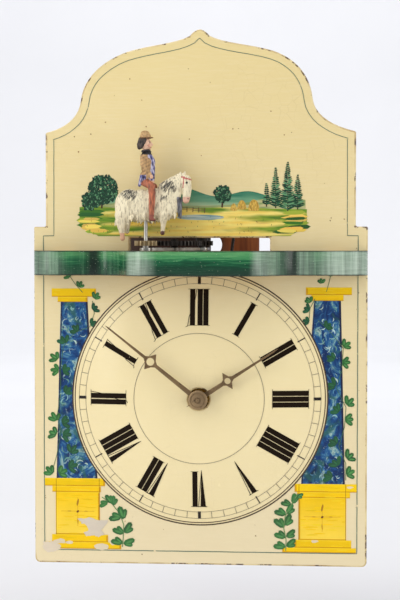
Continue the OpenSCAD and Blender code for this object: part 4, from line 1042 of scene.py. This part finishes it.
class SHIELDCLOCK_OT_ivy(bpy.types.Operator):
    """Paints the ivy on the columns and the sprigs beside the plinths"""
    bl_idname = "shieldclock.ivy"
    bl_label = "Ivy"

    def execute(self, context):
        rng = random.Random(context.scene.shield_clock_sizes.seed + 2)
        brush = Brush(lift=0.24)
        in_light = (tuple(context.scene.shield_clock_colours.leaf), lin(74, 136, 70))
        on_shaft = (lin(22, 80, 48), lin(34, 96, 58))

        def lobe(x, z, angle, length, width, tone, streak):
            mx, mz = x + math.cos(angle) * length / 2, z + math.sin(angle) * length / 2
            brush.shape(dab(mx, mz, angle, length, width, 0.1), tint(rng, tone, 0.25))
            mark = dab(mx + 0.3, mz - 0.2, angle + 0.08, length * 0.62, width * 0.34)
            brush.shape(mark, tint(rng, streak, 0.2), 0.03)

        for stem, leaves, size in CLIMBING_IVY:
            brush.line(stem, 0.4, lin(60, 104, 62))
            for x, z, toward in leaves:
                tones = on_shaft if 74 < abs(x) < 101 and z < 66 else in_light
                for spread in (-0.75, 0.05, 0.8):
                    turn, length = toward + spread + rng.uniform(-0.12, 0.12), size * rng.uniform(1.1, 1.4)
                    lobe(x, z, turn, length, size * 0.62, *tones)
        for stem, leaves in SPRIGS:
            brush.line(stem, 0.6, lin(104, 140, 80))
            for x, z, toward, length in leaves:
                lobe(x, z, toward + 0.16, length * 1.1, length * 0.5, *in_light)
                lobe(x, z, toward - 0.34, length * 0.88, length * 0.42, *in_light)
        brush.make("ivy_leaves", paint_finish("leaf_paint", streak=(60, 60, 60)), thickness=0.07)
        return {"FINISHED"}


# The country view behind the rider
LEAFY = [lin(10, 52, 34), lin(26, 84, 52), lin(18, 66, 40), lin(92, 142, 100)]


def swell(base, *hills):
    """A skyline above a base, with hills as (middle, width, height)."""
    return lambda x: base + sum(h * math.exp(-(((x - m) / w) ** 2)) for m, w, h in hills)


def every(x0, x1, step):
    n = int((x1 - x0) / step)
    return [x0 + (x1 - x0) * i / n for i in range(n + 1)]


def streaks(x, z, wide, tall, seed):
    """Brush marks so wide and tall, as a number around 0."""
    coarse = noise.noise((x / wide, z / tall, seed))
    return coarse + 0.5 * noise.noise((x / wide * 2.3, z / tall * 2.1, seed + 7))


def far_tone(x, z, t):
    tone = blend(lin(120, 168, 132), lin(40, 116, 88), t * 1.1 - 0.15 + 0.5 * streaks(x, z, 26, 2.2, 1))
    return blend(tone, lin(178, 192, 148), 0.9 - 2.2 * t + 0.4 * streaks(x, z, 30, 2, 2))


def near_tone(x, z, t):
    tone = blend(lin(206, 194, 142), lin(122, 150, 88), 0.2 + 0.9 * streaks(x, z, 20, 1.6, 3) + 0.5 * t)
    return blend(tone, lin(58, 112, 50), 0.5 - abs(x + 30) / 60 + 0.6 * streaks(x, z, 16, 1.4, 4))


def ground_tone(x, z, t):
    """Yellow earth in the middle, and grass in bands towards the sides and the pond."""
    tone = blend(lin(246, 206, 84), lin(255, 238, 138), 0.45 + 0.7 * streaks(x, z, 30, 1.7, 5))
    tone = blend(tone, lin(216, 170, 84), 1.5 * streaks(x, z, 22, 1.2, 6) - 0.55)
    side = max((-34 - x) / 34, (x - 34) / 30, 1.4 - abs(x - 8) / 12 - 5 * abs(t - 0.86))
    band = math.sin(z * 0.9 + 1.6 * streaks(x, z, 40, 6, 9)) * 0.75
    grass = blend(lin(64, 124, 22), lin(142, 168, 44), 0.5 + 0.9 * streaks(x, z, 18, 1.3, 8))
    grass = blend(grass, lin(26, 84, 30), 1.2 * streaks(x, z, 24, 1.4, 10) - 0.15)
    return blend(tone, grass, 1.1 * side + band + 0.35 * streaks(x, z, 12, 1.2, 11) - 0.1)


def pond_tone(x, z, t):
    return blend(lin(120, 156, 160), lin(206, 214, 198), 0.5 + 0.9 * streaks(x, z, 14, 0.8, 12))


def paint_hills(brush):
    far_top = swell(140.5, (-14, 20, 9.5), (34, 17, 6.5), (-62, 16, 4))
    near_top = swell(136.8, (58, 24, 6.5), (-50, 18, 3.0))
    brush.wash(every(-82, 73, 1.0), lambda x: 136.0, far_top, 14, far_tone)
    brush.wash(every(-84, 75, 1.0), lambda x: 132.0, near_top, 9, near_tone, 0.015)


def paint_ground(brush, rng):
    """The meadow with its ragged lower edge, the dabs along its sides and the pond."""
    middle_x, pond_z = -5, 128.6

    def ragged(x):
        return 0.9 * noise.noise((x * 0.21, 4, 4)) + 0.6 * noise.noise((x * 0.6, 8, 1))

    def ground_low(x):
        return max(115.25, 114.8 + max(0.0, abs(x - middle_x) - 66) ** 1.35 * 0.2 + ragged(int(x)))

    ground_top = swell(134.2, (-76, 18, 2.4), (20, 30, 1.5))
    brush.wash(every(-86, 76, 0.9), ground_low, ground_top, 24, ground_tone, 0.03)

    verge = [lin(58, 116, 30), lin(34, 92, 34), lin(150, 172, 52), lin(236, 204, 92), lin(226, 188, 80)]
    for k in range(44):
        side = -1 if k % 2 else 1
        z = rng.uniform(118.0, 132.6)
        drawn_in = max(0.0, 121.5 - z) * 2.0
        x = middle_x + side * (rng.uniform(71.0, 75.5) - drawn_in)
        turn = rng.uniform(-0.05, 0.05) + (math.pi if side < 0 else 0)
        mark = dab(x, z, turn, rng.uniform(12, 20), rng.uniform(1.8, 3.4), 0.16)
        brush.shape(mark, tint(rng, rng.choice(verge), 0.25), 0.045 + 0.002 * (k % 5))

    def pond_half(x):
        return 1.9 * math.sqrt(max(0.0, 1 - ((x - 0.5) / 17) ** 2))

    brush.wash(every(-16.5, 17.5, 1.0), lambda x: pond_z - pond_half(x), lambda x: pond_z + pond_half(x), 6,
               pond_tone, 0.045)


def paint_crown(brush, rng, x, z, wide, tall, count):
    """A round tree's crown of dark dabs below and mixed ones above."""
    for k in range(count):
        a, r = rng.uniform(0, 6.283), math.sqrt(rng.random())
        px, pz = x + wide * r * math.cos(a), z + tall * r * math.sin(a)
        under = k < count * 0.4
        size = 1.9 if under else 1.0
        leaf = dab(px, pz, rng.uniform(0.2, 2.6), size * rng.uniform(1.2, 2.3), size * rng.uniform(0.6, 1.1))
        brush.shape(leaf, tint(rng, LEAFY[0] if under else rng.choice(LEAFY), 0.22), 0.07 if under else 0.09)


def paint_pine(brush, rng, x, foot_z, tall):
    """A pine in layers of hanging dabs."""
    brush.line([(x, foot_z - 1), (x, foot_z + tall * 0.5)], 0.9, lin(70, 48, 32), lift=0.06)
    layers = int(tall / 1.3)
    for i in range(layers):
        t = i / layers
        half = (1 - t) * tall * 0.19 + 0.5
        for side in (-1, -1, -1, 1, 1, 1):
            reach = half * rng.uniform(0.5, 1.05)
            angle = math.pi / 2 + side * rng.uniform(1.75, 2.1)
            twig = dab(x + side * reach * 0.5, foot_z + 1.5 + tall * t, angle, reach * 1.25, 1.1)
            brush.shape(twig, tint(rng, rng.choice(LEAFY), 0.2), 0.08 + 0.0002 * i)


def paint_haystack(brush, rng, x, z, size):
    straw = (lin(226, 190, 92), lin(160, 120, 48), lin(206, 168, 74))
    turn = [math.pi * k / 12 for k in range(13)]
    dome = [(x + size * 0.62 * math.cos(a), z + size * 1.25 * math.sin(a)) for a in turn]
    brush.shape(dome, lin(196, 156, 62), 0.09)
    for _ in range(46):
        a, r = rng.uniform(0.15, 3.0), math.sqrt(rng.random())
        px, pz = x + size * 0.58 * r * math.cos(a), z + size * 1.15 * r * math.sin(a)
        stalk = dab(px, pz, math.pi / 2 - math.cos(a) * 0.3, 2.0, 0.4)
        brush.shape(stalk, tint(rng, rng.choice(straw), 0.15), 0.1)


def paint_fence(brush, rng):
    gap = 4.2
    for k in range(9):
        x, z = -30 + gap * k, 133.6 - 0.02 * k * k
        brush.line([(x, z - 0.6), (x + rng.uniform(-0.2, 0.2), z + 3.0)], 0.55, lin(104, 78, 50), lift=0.09)
        if k:
            for h in (1.0, 2.2):
                rail = [(x - gap, z + h + rng.uniform(-0.15, 0.15)), (x, z + h)]
                brush.line(rail, 0.35, lin(124, 96, 64), lift=0.088)


def paint_grass(brush, rng):
    tones = (lin(84, 110, 42), lin(140, 104, 44))
    for _ in range(90):
        x, z = rng.uniform(-82, 72), rng.uniform(117.5, 130)
        blade = dab(x, z, math.pi / 2 + rng.uniform(-0.5, 0.5), rng.uniform(0.8, 1.8), 0.28)
        brush.shape(blade, tint(rng, rng.choice(tones), 0.25), 0.1)


class SHIELDCLOCK_OT_picture(bpy.types.Operator):
    """Paints a plain country view behind the rider"""
    bl_idname = "shieldclock.picture"
    bl_label = "Country view"

    def execute(self, context):
        rng = random.Random(context.scene.shield_clock_sizes.seed + 3)
        brush = Brush(lift=0.13)
        paint_hills(brush)
        paint_ground(brush, rng)
        for x, z, h in ((-70, 135, 8), (16, 135.5, 5)):
            brush.line([(x, z), (x + 0.4, z + h)], 1.3, lin(74, 52, 34), lift=0.06)
        for crown in ((-69, 148.5, 10.5, 10.0, 520), (-78, 140, 6.5, 6.0, 230), (16.5, 145, 6.0, 5.6, 220)):
            paint_crown(brush, rng, *crown)
        for pine in ((54, 136, 27), (62.5, 134, 33), (69.5, 135, 23), (47.5, 137, 15)):
            paint_pine(brush, rng, *pine)
        for stack in ((30, 134.2, 5.2), (38.5, 133.2, 6.4), (24.2, 133.4, 3.8)):
            paint_haystack(brush, rng, *stack)
        paint_fence(brush, rng)
        paint_grass(brush, rng)
        brush.make("country_view", paint_finish("view_paint", streak=(90, 60, 260)), thickness=0.05)
        return {"FINISHED"}


class SHIELDCLOCK_OT_gallery(bpy.types.Operator):
    """Paints the bowed green rail"""
    bl_idname = "shieldclock.gallery"
    bl_label = "Gallery rail"

    def execute(self, context):
        dress("gallery_rail", [rail_finish(), dark_edge_finish()], "clock",
              context.scene.shield_clock_sizes.rail_edge, flat_deg=0.2, smooth_deg=30)
        return {"FINISHED"}


def turned_profile(rim):
    """The collet's half section as (radius, height) in metres, from the middle of its back to its tip."""
    return [
        (0, 0), (rim - 0.00015, 0), (rim, 0.00015), (rim, 0.0010), (rim - 0.0003, 0.0013),
        (rim - 0.0012, 0.0016), (rim - 0.0016, 0.0016), (rim - 0.0017, 0.00135), (rim - 0.0021, 0.00135),
        (rim - 0.0023, 0.0017), (0.0030, 0.0021), (0.0022, 0.0021), (0.0020, 0.0015), (0.0013, 0.0015),
        (0.0012, 0.0026), (0.0009, 0.0029), (0.0004, 0.0030), (0.0003, 0.0027), (0, 0.0026),
    ]


class SHIELDCLOCK_OT_hands(bpy.types.Operator):
    """Gives the hands soft edges and a brown patina, and turns the rings of their collet"""
    bl_idname = "shieldclock.hands"
    bl_label = "Hands"

    def execute(self, context):
        edge = context.scene.shield_clock_sizes.metal_edge
        brown = (lin(138, 114, 82), lin(106, 86, 62), lin(70, 54, 40))
        bright = (lin(150, 120, 88), lin(110, 88, 66), lin(78, 60, 46))
        pale = (lin(164, 138, 102), lin(130, 108, 80), lin(86, 68, 50))
        patina = metal_finish("brown_hand_brass", *brown, 0.42, metal=0.8)
        rubbed = metal_finish("rubbed_hand_edge", *bright, 0.4, metal=0.85)
        turned = metal_finish("turned_brass", *pale, 0.42, metal=0.8)
        for node, body in (("minute_hand", "minute"), ("hour_hand", "hour")):
            dress(node, [patina, rubbed], body, edge)

        source = frame["nodes"]["hand_collet"]
        corners = [source.matrix_world @ v.co for v in source.data.vertices]
        back, front = max(p.y for p in corners), min(p.y for p in corners)
        section = turned_profile(max(p.x for p in corners))
        drawn_height = 0.0032
        reach = (back - front) / drawn_height
        mesh = bpy.data.meshes.new("turned_collet")
        mesh.from_pydata([(r, back - d * reach, 0) for r, d in section],
                         [(i, i + 1) for i in range(len(section) - 1)], [])
        collet = new_object("turned_collet", mesh)
        apply(collet, "SCREW", axis="Y", angle=2 * math.pi, steps=72, render_steps=72,
              use_merge_vertices=True, merge_threshold=0.00001, use_smooth_shade=True)
        edit_all(collet)
        bpy.ops.mesh.normals_make_consistent(inside=False)
        bpy.ops.transform.translate(value=(0, 0, -HANG_Z / 1000))
        bpy.ops.object.mode_set(mode="OBJECT")
        bpy.ops.object.shade_smooth_by_angle(angle=math.radians(30))
        cover(collet, turned)
        belong(collet, "minute", ["hand_collet"])
        return {"FINISHED"}


# The horse in millimetres from the post and the girth: lumps as (u, w, radii), chains as (u, v, w, radius)
HORSE_TRUNK = (
    (-11.5, 13.2, 10.6, 4.6, 11.2), (-13.5, 10.5, 8.4, 4.7, 9.6), (-3, 12.6, 11.0, 4.5, 11.6),
    (6, 14.0, 10.4, 4.5, 11.2), (12.5, 13.6, 8.4, 4.7, 9.8), (14.6, 20.0, 7.6, 4.3, 8.6),
    (16.4, 11.2, 5.8, 4.2, 8.0), (20.6, 21.0, 4.6, 3.5, 7.0),
)
HORSE_NECK = ((15.5, 0, 23, 7.4), (20, 0, 27, 6.2), (25, 0, 30.2, 4.4))
HORSE_LIMBS = (
    ((27.8, 0, 30.0, 4.5), (29.0, 0, 24.4, 3.5), (28.8, 0, 19.4, 2.9), (28.4, 0, 16.6, 2.6)),
    ((26.6, -1.7, 33.4, 1.3), (27.8, -2.04, 36.0, 0.7)),
    ((26.6, 1.7, 33.4, 1.3), (27.8, 2.04, 36.0, 0.7)),
    ((-17.2, -2.0, 6, 4.6), (-17.0, -2.2, -2, 2.9), (-16.4, -2.2, -7.5, 1.8), (-16.2, -2.2, -10.4, 1.9)),
    ((-14.6, 2.2, 5, 4.4), (-14.0, 2.3, -2, 2.6), (-13.6, 2.3, -5.6, 1.7)),
    ((12.8, -2.1, 6, 3.6), (12.6, -2.2, 0, 2.1), (12.2, -2.2, -4.4, 1.6), (12.0, -2.2, -6.6, 1.7)),
    ((21.4, 0.8, 17.5, 2.6), (23.4, 0.8, 16.5, 2.2), (23.8, 0.8, 11, 2.0), (24.0, 0.8, 5.6, 1.6),
     (24.4, 0.8, 4.2, 1.0)),
)
# Dark patches of its coat as (u, w, half length, half height)
HORSE_PATCHES = ((-11.6, 20.6, 6.4, 4.2), (16.0, 26.4, 6.4, 4.8), (12.8, 17.6, 2.8, 2.2))


def horse_lumps(rng):
    """Trunk, neck, head, ears and legs, then the locks along the belly and the mane."""
    parts = [(u, 0, w, ru, rv, rw) for u, w, ru, rv, rw in HORSE_TRUNK]
    flat = 0.8
    chain(parts, HORSE_NECK, 0.62)
    for limb in HORSE_LIMBS:
        chain(parts, limb, flat)
    for _ in range(120):
        u = rng.uniform(-21, 21)
        side = rng.choice((-1, 1))
        w = rng.uniform(-0.4, 4.2) + (0.22 * (u - 8) if u > 8 else 0)
        if u < -12:
            w -= rng.uniform(0, 3.5)
        v = side * rng.uniform(1.0, 3.9)
        chain(parts, [(u, v, w + 3.2, 1.15), (u - rng.uniform(0, 1.2), v * 1.05, w, 0.45)], flat)
    for _ in range(70):
        t = rng.random()
        u, w = 11 + 15 * t, 27.5 + 8.2 * t
        root = (u, rng.uniform(-1.4, 1.4), w - 1.5, 1.0)
        chain(parts, [root, (u - rng.uniform(0.2, 1.4), rng.uniform(-2, 2), w + 0.4, 0.4)], flat)
    return parts


def horse_colours(coat):
    """The horse's colour at a place: locks, dark patches, hoofs, a painted shadow on the raised far foreleg,
    muzzle, bridle and eye.
    """
    belly, strand_tone, dark = lin(186, 164, 124), lin(118, 98, 72), lin(34, 31, 28)
    fore_hoof, rear_hoof, raised_leg_shadow = lin(92, 52, 44), lin(206, 158, 124), lin(112, 112, 118)
    muzzle, bridle, eye, nostril = lin(226, 180, 154), lin(190, 84, 80), lin(20, 16, 14), lin(120, 70, 60)

    def colour_at(u, v, w):
        ragged = 0.4 * noise.noise((u * 0.55, v * 0.4, w * 0.22))
        ragged += 0.75 * noise.noise((u * 1.9 + 9, v * 0.8, w * 0.42 - u * 0.3))
        base = between(coat, belly, 0.35 * clamp((9 - w) / 16))
        lock = noise.noise((u * 1.5, v * 0.8, w * 0.24 + 5)) + 0.5 * noise.noise((u * 3.4, v * 1.4, w * 0.5))
        base = between(base, strand_tone, 0.6 * clamp((lock - 0.22) * 3.2))
        comb = noise.noise((u * 1.5 - w * 0.9, v * 0.5, w * 0.3 + u * 0.2))
        for pu, pw, ru, rw in HORSE_PATCHES:
            d = math.hypot((u - pu) / ru, (w - pw) / rw) + ragged
            base = between(base, dark, clamp((1.05 - d) / 0.3, 0.0, 0.95) * clamp(0.85 + 1.7 * comb, 0.15))
        if w < -5.2 and u > 8:
            base = fore_hoof
        if w < -6.6 and u < -10:
            base = rear_hoof
        # Painted shadow: the raised far foreleg is painted a cool grey, as if in shade
        if w < 18.6 and 22.2 < u < 26.2:
            base = shade(raised_leg_shadow, 0.9 + 0.9 * noise.noise((u * 1.3, v, w * 0.4)))
        if w < 18.6 and u > 26.2:
            base = muzzle
        cheek_strap = abs(u - 26.4 - 0.1 * (w - 24)) < 0.4 and 25 < w < 33
        if u > 25.0 and (cheek_strap or abs(w - 31.8 + 0.3 * (u - 28)) < 0.5):
            base = bridle
        if math.hypot(u - 29.2, w - 28.6) < 0.75:
            base = eye
        if math.hypot(u - 30.0, w - 17.4) < 0.5:
            base = nostril
        return base

    return colour_at


class SHIELDCLOCK_OT_horse(bpy.types.Operator):
    """Carves and paints the shaggy horse"""
    bl_idname = "shieldclock.horse"
    bl_label = "Horse"

    def execute(self, context):
        s = context.scene.shield_clock_sizes
        parts = horse_lumps(random.Random(s.seed + 4))
        colours = horse_colours(tuple(context.scene.shield_clock_colours.coat))
        paint = carved_finish("horse_paint", 0.55, (240, 240, 60), 0.5)
        carve("shaggy_horse", parts, s.voxel, 3, colours, paint, ["horse"])
        return {"FINISHED"}


# The rider's pieces, each as its lumps and its colour at a place
def rider_coat(jacket):
    silk, silk_painted_shade, silk_painted_highlight = lin(78, 80, 142), lin(38, 34, 66), lin(206, 200, 218)
    collar, hand = lin(30, 26, 26), lin(226, 182, 150)
    parts = []
    chain(parts, [(2.2, 0, 29.6, 4.1), (2.0, 0, 36, 4.7), (1.4, 0, 43, 5.4), (0.6, 0, 47.2, 4.0),
                  (0.2, 0, 49.6, 2.6)], 0.78)
    chain(parts, [(-1.2, 0, 34, 2.8), (-3.0, 0, 30.0, 2.0), (-4.4, 0, 26.8, 1.1)], 1.2)
    for v in (-1, 1):
        chain(parts, [(-1.0, 3.4 * v, 46.6, 2.6), (-1.2, 4.4 * v, 41.5, 2.3), (1.0, 4.6 * v, 37.2, 2.0),
                      (4.4, 4.0 * v, 32.6, 1.5)], 0.9)

    def colour_at(u, v, w):
        if w > 48.2:
            return collar
        waistcoat = u > 2.6 + 0.9 * math.sin(w * 0.9) and abs(v) < 3.4 and w > 30
        tails = w < 34.2 and u < 0.6 and abs(v) < 3.9
        # Painted highlights and painted shade in soft patches on the blue waistcoat and coat tails
        if waistcoat or tails:
            painted_light = 0.35 + 2.0 * noise.noise((u * 1.1 + w * 0.25, v * 0.5, w * 0.4))
            return blend(silk, silk_painted_shade, -1.6 * painted_light) if painted_light < 0 else blend(silk, silk_painted_highlight, painted_light)
        if u > 3.6 and w < 34.2:
            return hand
        # Painted shade: the jacket darkens in diagonal fold bands, and is lighter and darker in soft patches
        # besides
        painted_fold_shade = 0.84 + 0.45 * noise.noise((u * 0.9, v * 0.9, w * 0.45))
        return shade(jacket, painted_fold_shade - 0.25 * max(0.0, math.sin(2.6 * (w - 0.5 * u))))

    return parts, colour_at


def rider_legs(trousers):
    sole, shoe = lin(26, 18, 16), lin(140, 74, 58)
    parts = [(1.2, 0, 28.2, 4.6, 4.6, 2.6)]
    for v in (-1, 1):
        chain(parts, [(1.0, 3.6 * v, 28.2, 2.9), (4.8, 5.6 * v, 26.0, 2.8), (5.2, 5.9 * v, 20.0, 2.5),
                      (4.8, 5.8 * v, 12.0, 2.3), (4.6, 5.8 * v, 6.0, 2.0), (4.4, 5.8 * v, 3.4, 1.8),
                      (6.6, 5.9 * v, 2.3, 1.1)], 0.62)

    def colour_at(u, v, w):
        if w < 2.0:
            return sole
        if w < 6.2:
            return shoe
        # Painted shade and painted highlight: the trousers are darker and lighter in patches for the light on
        # their wrinkles
        painted_fold_shade = 0.9 + noise.noise((u * 1.1, v * 0.6, w * 0.22)) + 0.5 * noise.noise((u * 2.6, v, w * 0.5))
        return tuple(min(0.9, x * painted_fold_shade) for x in trousers)

    return parts, colour_at


def rider_head():
    skin, cheek, eye = lin(228, 184, 154), lin(222, 158, 132), lin(40, 30, 26)
    brow, mouth = lin(70, 48, 36), lin(176, 92, 84)
    parts = [(0.0, 0, 56.0, 3.9, 3.3, 4.4), (1.1, 0, 54.3, 2.9, 2.7, 3.2), (2.2, 0, 52.3, 1.5, 1.4, 1.2)]
    chain(parts, [(3.7, 0, 56.6, 0.6), (4.5, 0, 55.2, 0.75)], 0.9)
    parts.append((3.5, 0, 53.4, 0.8, 1.0, 0.35))
    for v in (-1, 1):
        parts.append((-0.6, 3.2 * v, 55.6, 0.9, 0.55, 1.2))
    chain(parts, [(0, 0, 52, 2.2), (0, 0, 50.4, 2.2)])

    def colour_at(u, v, w):
        base = skin
        if math.hypot(u - 2.6, w - 54.6) < 1.0 and abs(v) > 1.6:
            base = cheek
        if math.hypot(u - 3.2, w - 56.6) < 0.42 and abs(v) > 0.9:
            base = eye
        if abs(w - 57.6) < 0.28 and 2.4 < u < 3.9 and abs(v) > 0.8:
            base = brow
        if abs(w - 53.4) < 0.25 and u > 3.2:
            base = mouth
        return base

    return parts, colour_at


def rider_hair():
    brown = lin(62, 50, 44)
    parts = []
    chain(parts, [(-2.6, 0, 58.4, 2.7), (-4.0, 0, 55.4, 2.3), (-4.4, 0, 53.4, 1.6)], 1.2)
    for v in (-1, 1):
        chain(parts, [(-0.4, 2.7 * v, 58.6, 1.5), (-1.2, 2.9 * v, 56.2, 1.5), (-2.8, 2.6 * v, 53.8, 1.3)])
    return parts, lambda u, v, w: shade(brown, 1 + 1.4 * noise.noise((u, v, w * 0.5)))


def rider_neckerchief():
    black = lin(34, 30, 34)
    turn = [2 * math.pi * k / 14 for k in range(14)]
    knots = [(2.3 * math.cos(a) + 0.1, 2.3 * math.sin(a), 51.0 + 0.35 * math.cos(a)) for a in turn]
    parts = [(*knot, 1.1, 1.1, 0.95) for knot in knots]
    parts.append((3.0, 0, 50.2, 1.1, 1.2, 0.9))
    return parts, lambda u, v, w: black


def rider_hat():
    band, felt = lin(132, 96, 60), lin(196, 158, 108)
    parts = [(-0.2, 0, 61.4, 4.0, 3.7, 2.6), (-0.4, 0, 63.4, 3.1, 3.0, 1.9), (-0.2, 0, 60.0, 4.5, 4.1, 0.9),
             (2.6, 0, 60.2, 3.0, 3.0, 0.6)]

    def colour_at(u, v, w):
        return shade(band if w < 60.6 else felt, 0.9 + 0.5 * noise.noise((u * 1.1, v * 1.1, w * 1.1)))

    return parts, colour_at


class SHIELDCLOCK_OT_rider(bpy.types.Operator):
    """Carves and paints the rider"""
    bl_idname = "shieldclock.rider"
    bl_label = "Rider"

    def execute(self, context):
        c, voxel = context.scene.shield_clock_colours, context.scene.shield_clock_sizes.voxel
        cloth = carved_finish("painted_cloth", 0.6, (120, 120, 60), 0.35)
        skin = carved_finish("painted_skin", 0.5, (60, 60, 60), 0.15)
        felt = carved_finish("painted_felt", 0.7, (140, 140, 140), 0.3)
        pieces = (
            ("rider_coat", rider_coat(tuple(c.jacket)), cloth, 0.8, ["rider"]),
            ("rider_legs", rider_legs(tuple(c.trousers)), cloth, 0.8, []),
            ("rider_head", rider_head(), skin, 0.6, []),
            ("rider_hair", rider_hair(), felt, 0.7, []),
            ("rider_neckerchief", rider_neckerchief(), cloth, 0.7, []),
            ("rider_hat", rider_hat(), felt, 0.7, []),
        )
        for name, (parts, colour_at), finish, fineness, replaces in pieces:
            carve(name, parts, voxel * fineness, 2, colour_at, finish, replaces)
        return {"FINISHED"}


class SHIELDCLOCK_OT_stage(bpy.types.Operator):
    """Adds the floor, the backdrop, the lights and the camera"""
    bl_idname = "shieldclock.stage"
    bl_label = "Stage"

    def execute(self, context):
        st = context.scene.shield_clock_stage
        self.add_paper()
        to_clock, to_paper = (0, -0.12, -0.03), (-0.2, 3.2, -0.1)
        lights = (
            ("left_window", (-1.15, -0.80, 0.35), to_clock, (0.6, 1.3), st.key, (1.0, 0.97, 0.92)),
            ("right_window", (1.25, -0.62, 0.30), to_clock, (0.6, 1.2), st.fill, (1.0, 0.98, 0.95)),
            ("dial_window", (-0.62, -1.35, 0.05), to_clock, (0.14, 0.5), st.key * 0.05, (1.0, 0.99, 0.97)),
            ("top_window", (-0.15, -0.9, 1.25), to_clock, (1.2, 0.7), st.fill * 0.8, (1.0, 1.0, 1.0)),
            ("paper_window", (-0.2, 1.6, 2.6), to_paper, (3.2, 1.0), st.key * 7.4, (1.0, 1.0, 1.0)),
        )
        for name, place, aim, size, power, tone in lights:
            lamp = bpy.data.lights.new(name, "AREA")
            lamp.shape, lamp.size, lamp.size_y = "RECTANGLE", *size
            lamp.energy, lamp.color = power, tone
            obj = new_object(name, lamp)
            obj.location = place
            obj.rotation_euler = (Vector(aim) - Vector(place)).to_track_quat("-Z", "Y").to_euler()
        world = bpy.data.worlds.new("studio_air")
        world.use_nodes = True
        air = world.node_tree.nodes["Background"].inputs
        air["Color"].default_value = (0.93, 0.95, 1.0, 1)
        air["Strength"].default_value = st.room
        context.scene.world = world
        context.scene.view_settings.view_transform = "Standard"

        lens = bpy.data.cameras.new("photo_camera")
        lens.lens, lens.sensor_width, lens.sensor_fit = st.lens, 36, "AUTO"
        camera = new_object("photo_camera", lens)
        camera.location = row(82.7, -1100, 111.0)
        camera.rotation_euler = (math.radians(87.845), 0, math.radians(4.32))
        context.scene.camera = camera
        return {"FINISHED"}

    def add_paper(self):
        """A white floor that bends up into a backdrop behind the clock."""
        size, middle = 9, (0, -1.1, -0.30)
        slope, backdrop = (0, 0.5, 0.5), (0, 0.1, 3.0)
        bpy.ops.object.select_all(action="DESELECT")
        bpy.ops.mesh.primitive_plane_add(size=size, location=middle)
        floor = bpy.context.active_object
        floor.name = "studio_floor"
        bpy.ops.object.mode_set(mode="EDIT")
        bpy.ops.mesh.select_all(action="DESELECT")
        bpy.ops.object.mode_set(mode="OBJECT")
        for edge in floor.data.edges:
            edge.select = all(floor.data.vertices[v].co.y > size / 2 - 0.1 for v in edge.vertices)
        bpy.ops.object.mode_set(mode="EDIT")
        for step in (slope, backdrop):
            bpy.ops.mesh.extrude_region_move(TRANSFORM_OT_translate={"value": step})
        bpy.ops.object.mode_set(mode="OBJECT")
        apply(floor, "BEVEL", width=0.35, segments=8, limit_method="ANGLE")
        bpy.ops.object.shade_smooth()
        paper = Finish("studio_paper", rough=0.8)
        paper.colour(paper.mix(paper.grain(3, 3), lin(240, 240, 242), lin(234, 234, 236)))
        cover(floor, paper)


class SHIELDCLOCK_PT_panel(bpy.types.Panel):
    """Lists the steps that dress the clock"""
    bl_idname = "SHIELDCLOCK_PT_panel"
    bl_label = "Shield Clock"
    bl_space_type = "VIEW_3D"
    bl_region_type = "UI"
    bl_category = "Shield Clock"

    def draw(self, context):
        for name, group in GROUPS.items():
            box = self.layout.box()
            for key in group.__annotations__:
                box.prop(getattr(context.scene, name), key)
        for step in STEPS:
            self.layout.operator(step.bl_idname)


GROUPS = {
    "shield_clock_colours": ShieldClockColours,
    "shield_clock_sizes": ShieldClockSizes,
    "shield_clock_stage": ShieldClockStage,
}
STEPS = (
    SHIELDCLOCK_OT_stage, SHIELDCLOCK_OT_case, SHIELDCLOCK_OT_movement, SHIELDCLOCK_OT_shield,
    SHIELDCLOCK_OT_border, SHIELDCLOCK_OT_specks, SHIELDCLOCK_OT_dial, SHIELDCLOCK_OT_columns,
    SHIELDCLOCK_OT_ivy, SHIELDCLOCK_OT_picture, SHIELDCLOCK_OT_gallery, SHIELDCLOCK_OT_hands,
    SHIELDCLOCK_OT_horse, SHIELDCLOCK_OT_rider,
)
CLASSES = (*GROUPS.values(), *STEPS, SHIELDCLOCK_PT_panel)


def register():
    for cls in CLASSES:
        bpy.utils.register_class(cls)
    for name, group in GROUPS.items():
        setattr(bpy.types.Scene, name, bpy.props.PointerProperty(type=group))


def unregister():
    for name in GROUPS:
        delattr(bpy.types.Scene, name)
    for cls in reversed(CLASSES):
        bpy.utils.unregister_class(cls)


def main():
    register()
    bpy.ops.shieldclock.stage()
    bpy.ops.shieldclock.case()
    bpy.ops.shieldclock.movement()
    bpy.ops.shieldclock.shield()
    bpy.ops.shieldclock.border()
    bpy.ops.shieldclock.specks()
    bpy.ops.shieldclock.dial()
    bpy.ops.shieldclock.columns()
    bpy.ops.shieldclock.ivy()
    bpy.ops.shieldclock.picture()
    bpy.ops.shieldclock.gallery()
    bpy.ops.shieldclock.hands()
    bpy.ops.shieldclock.horse()
    bpy.ops.shieldclock.rider()


if __name__ == "__main__":
    main()
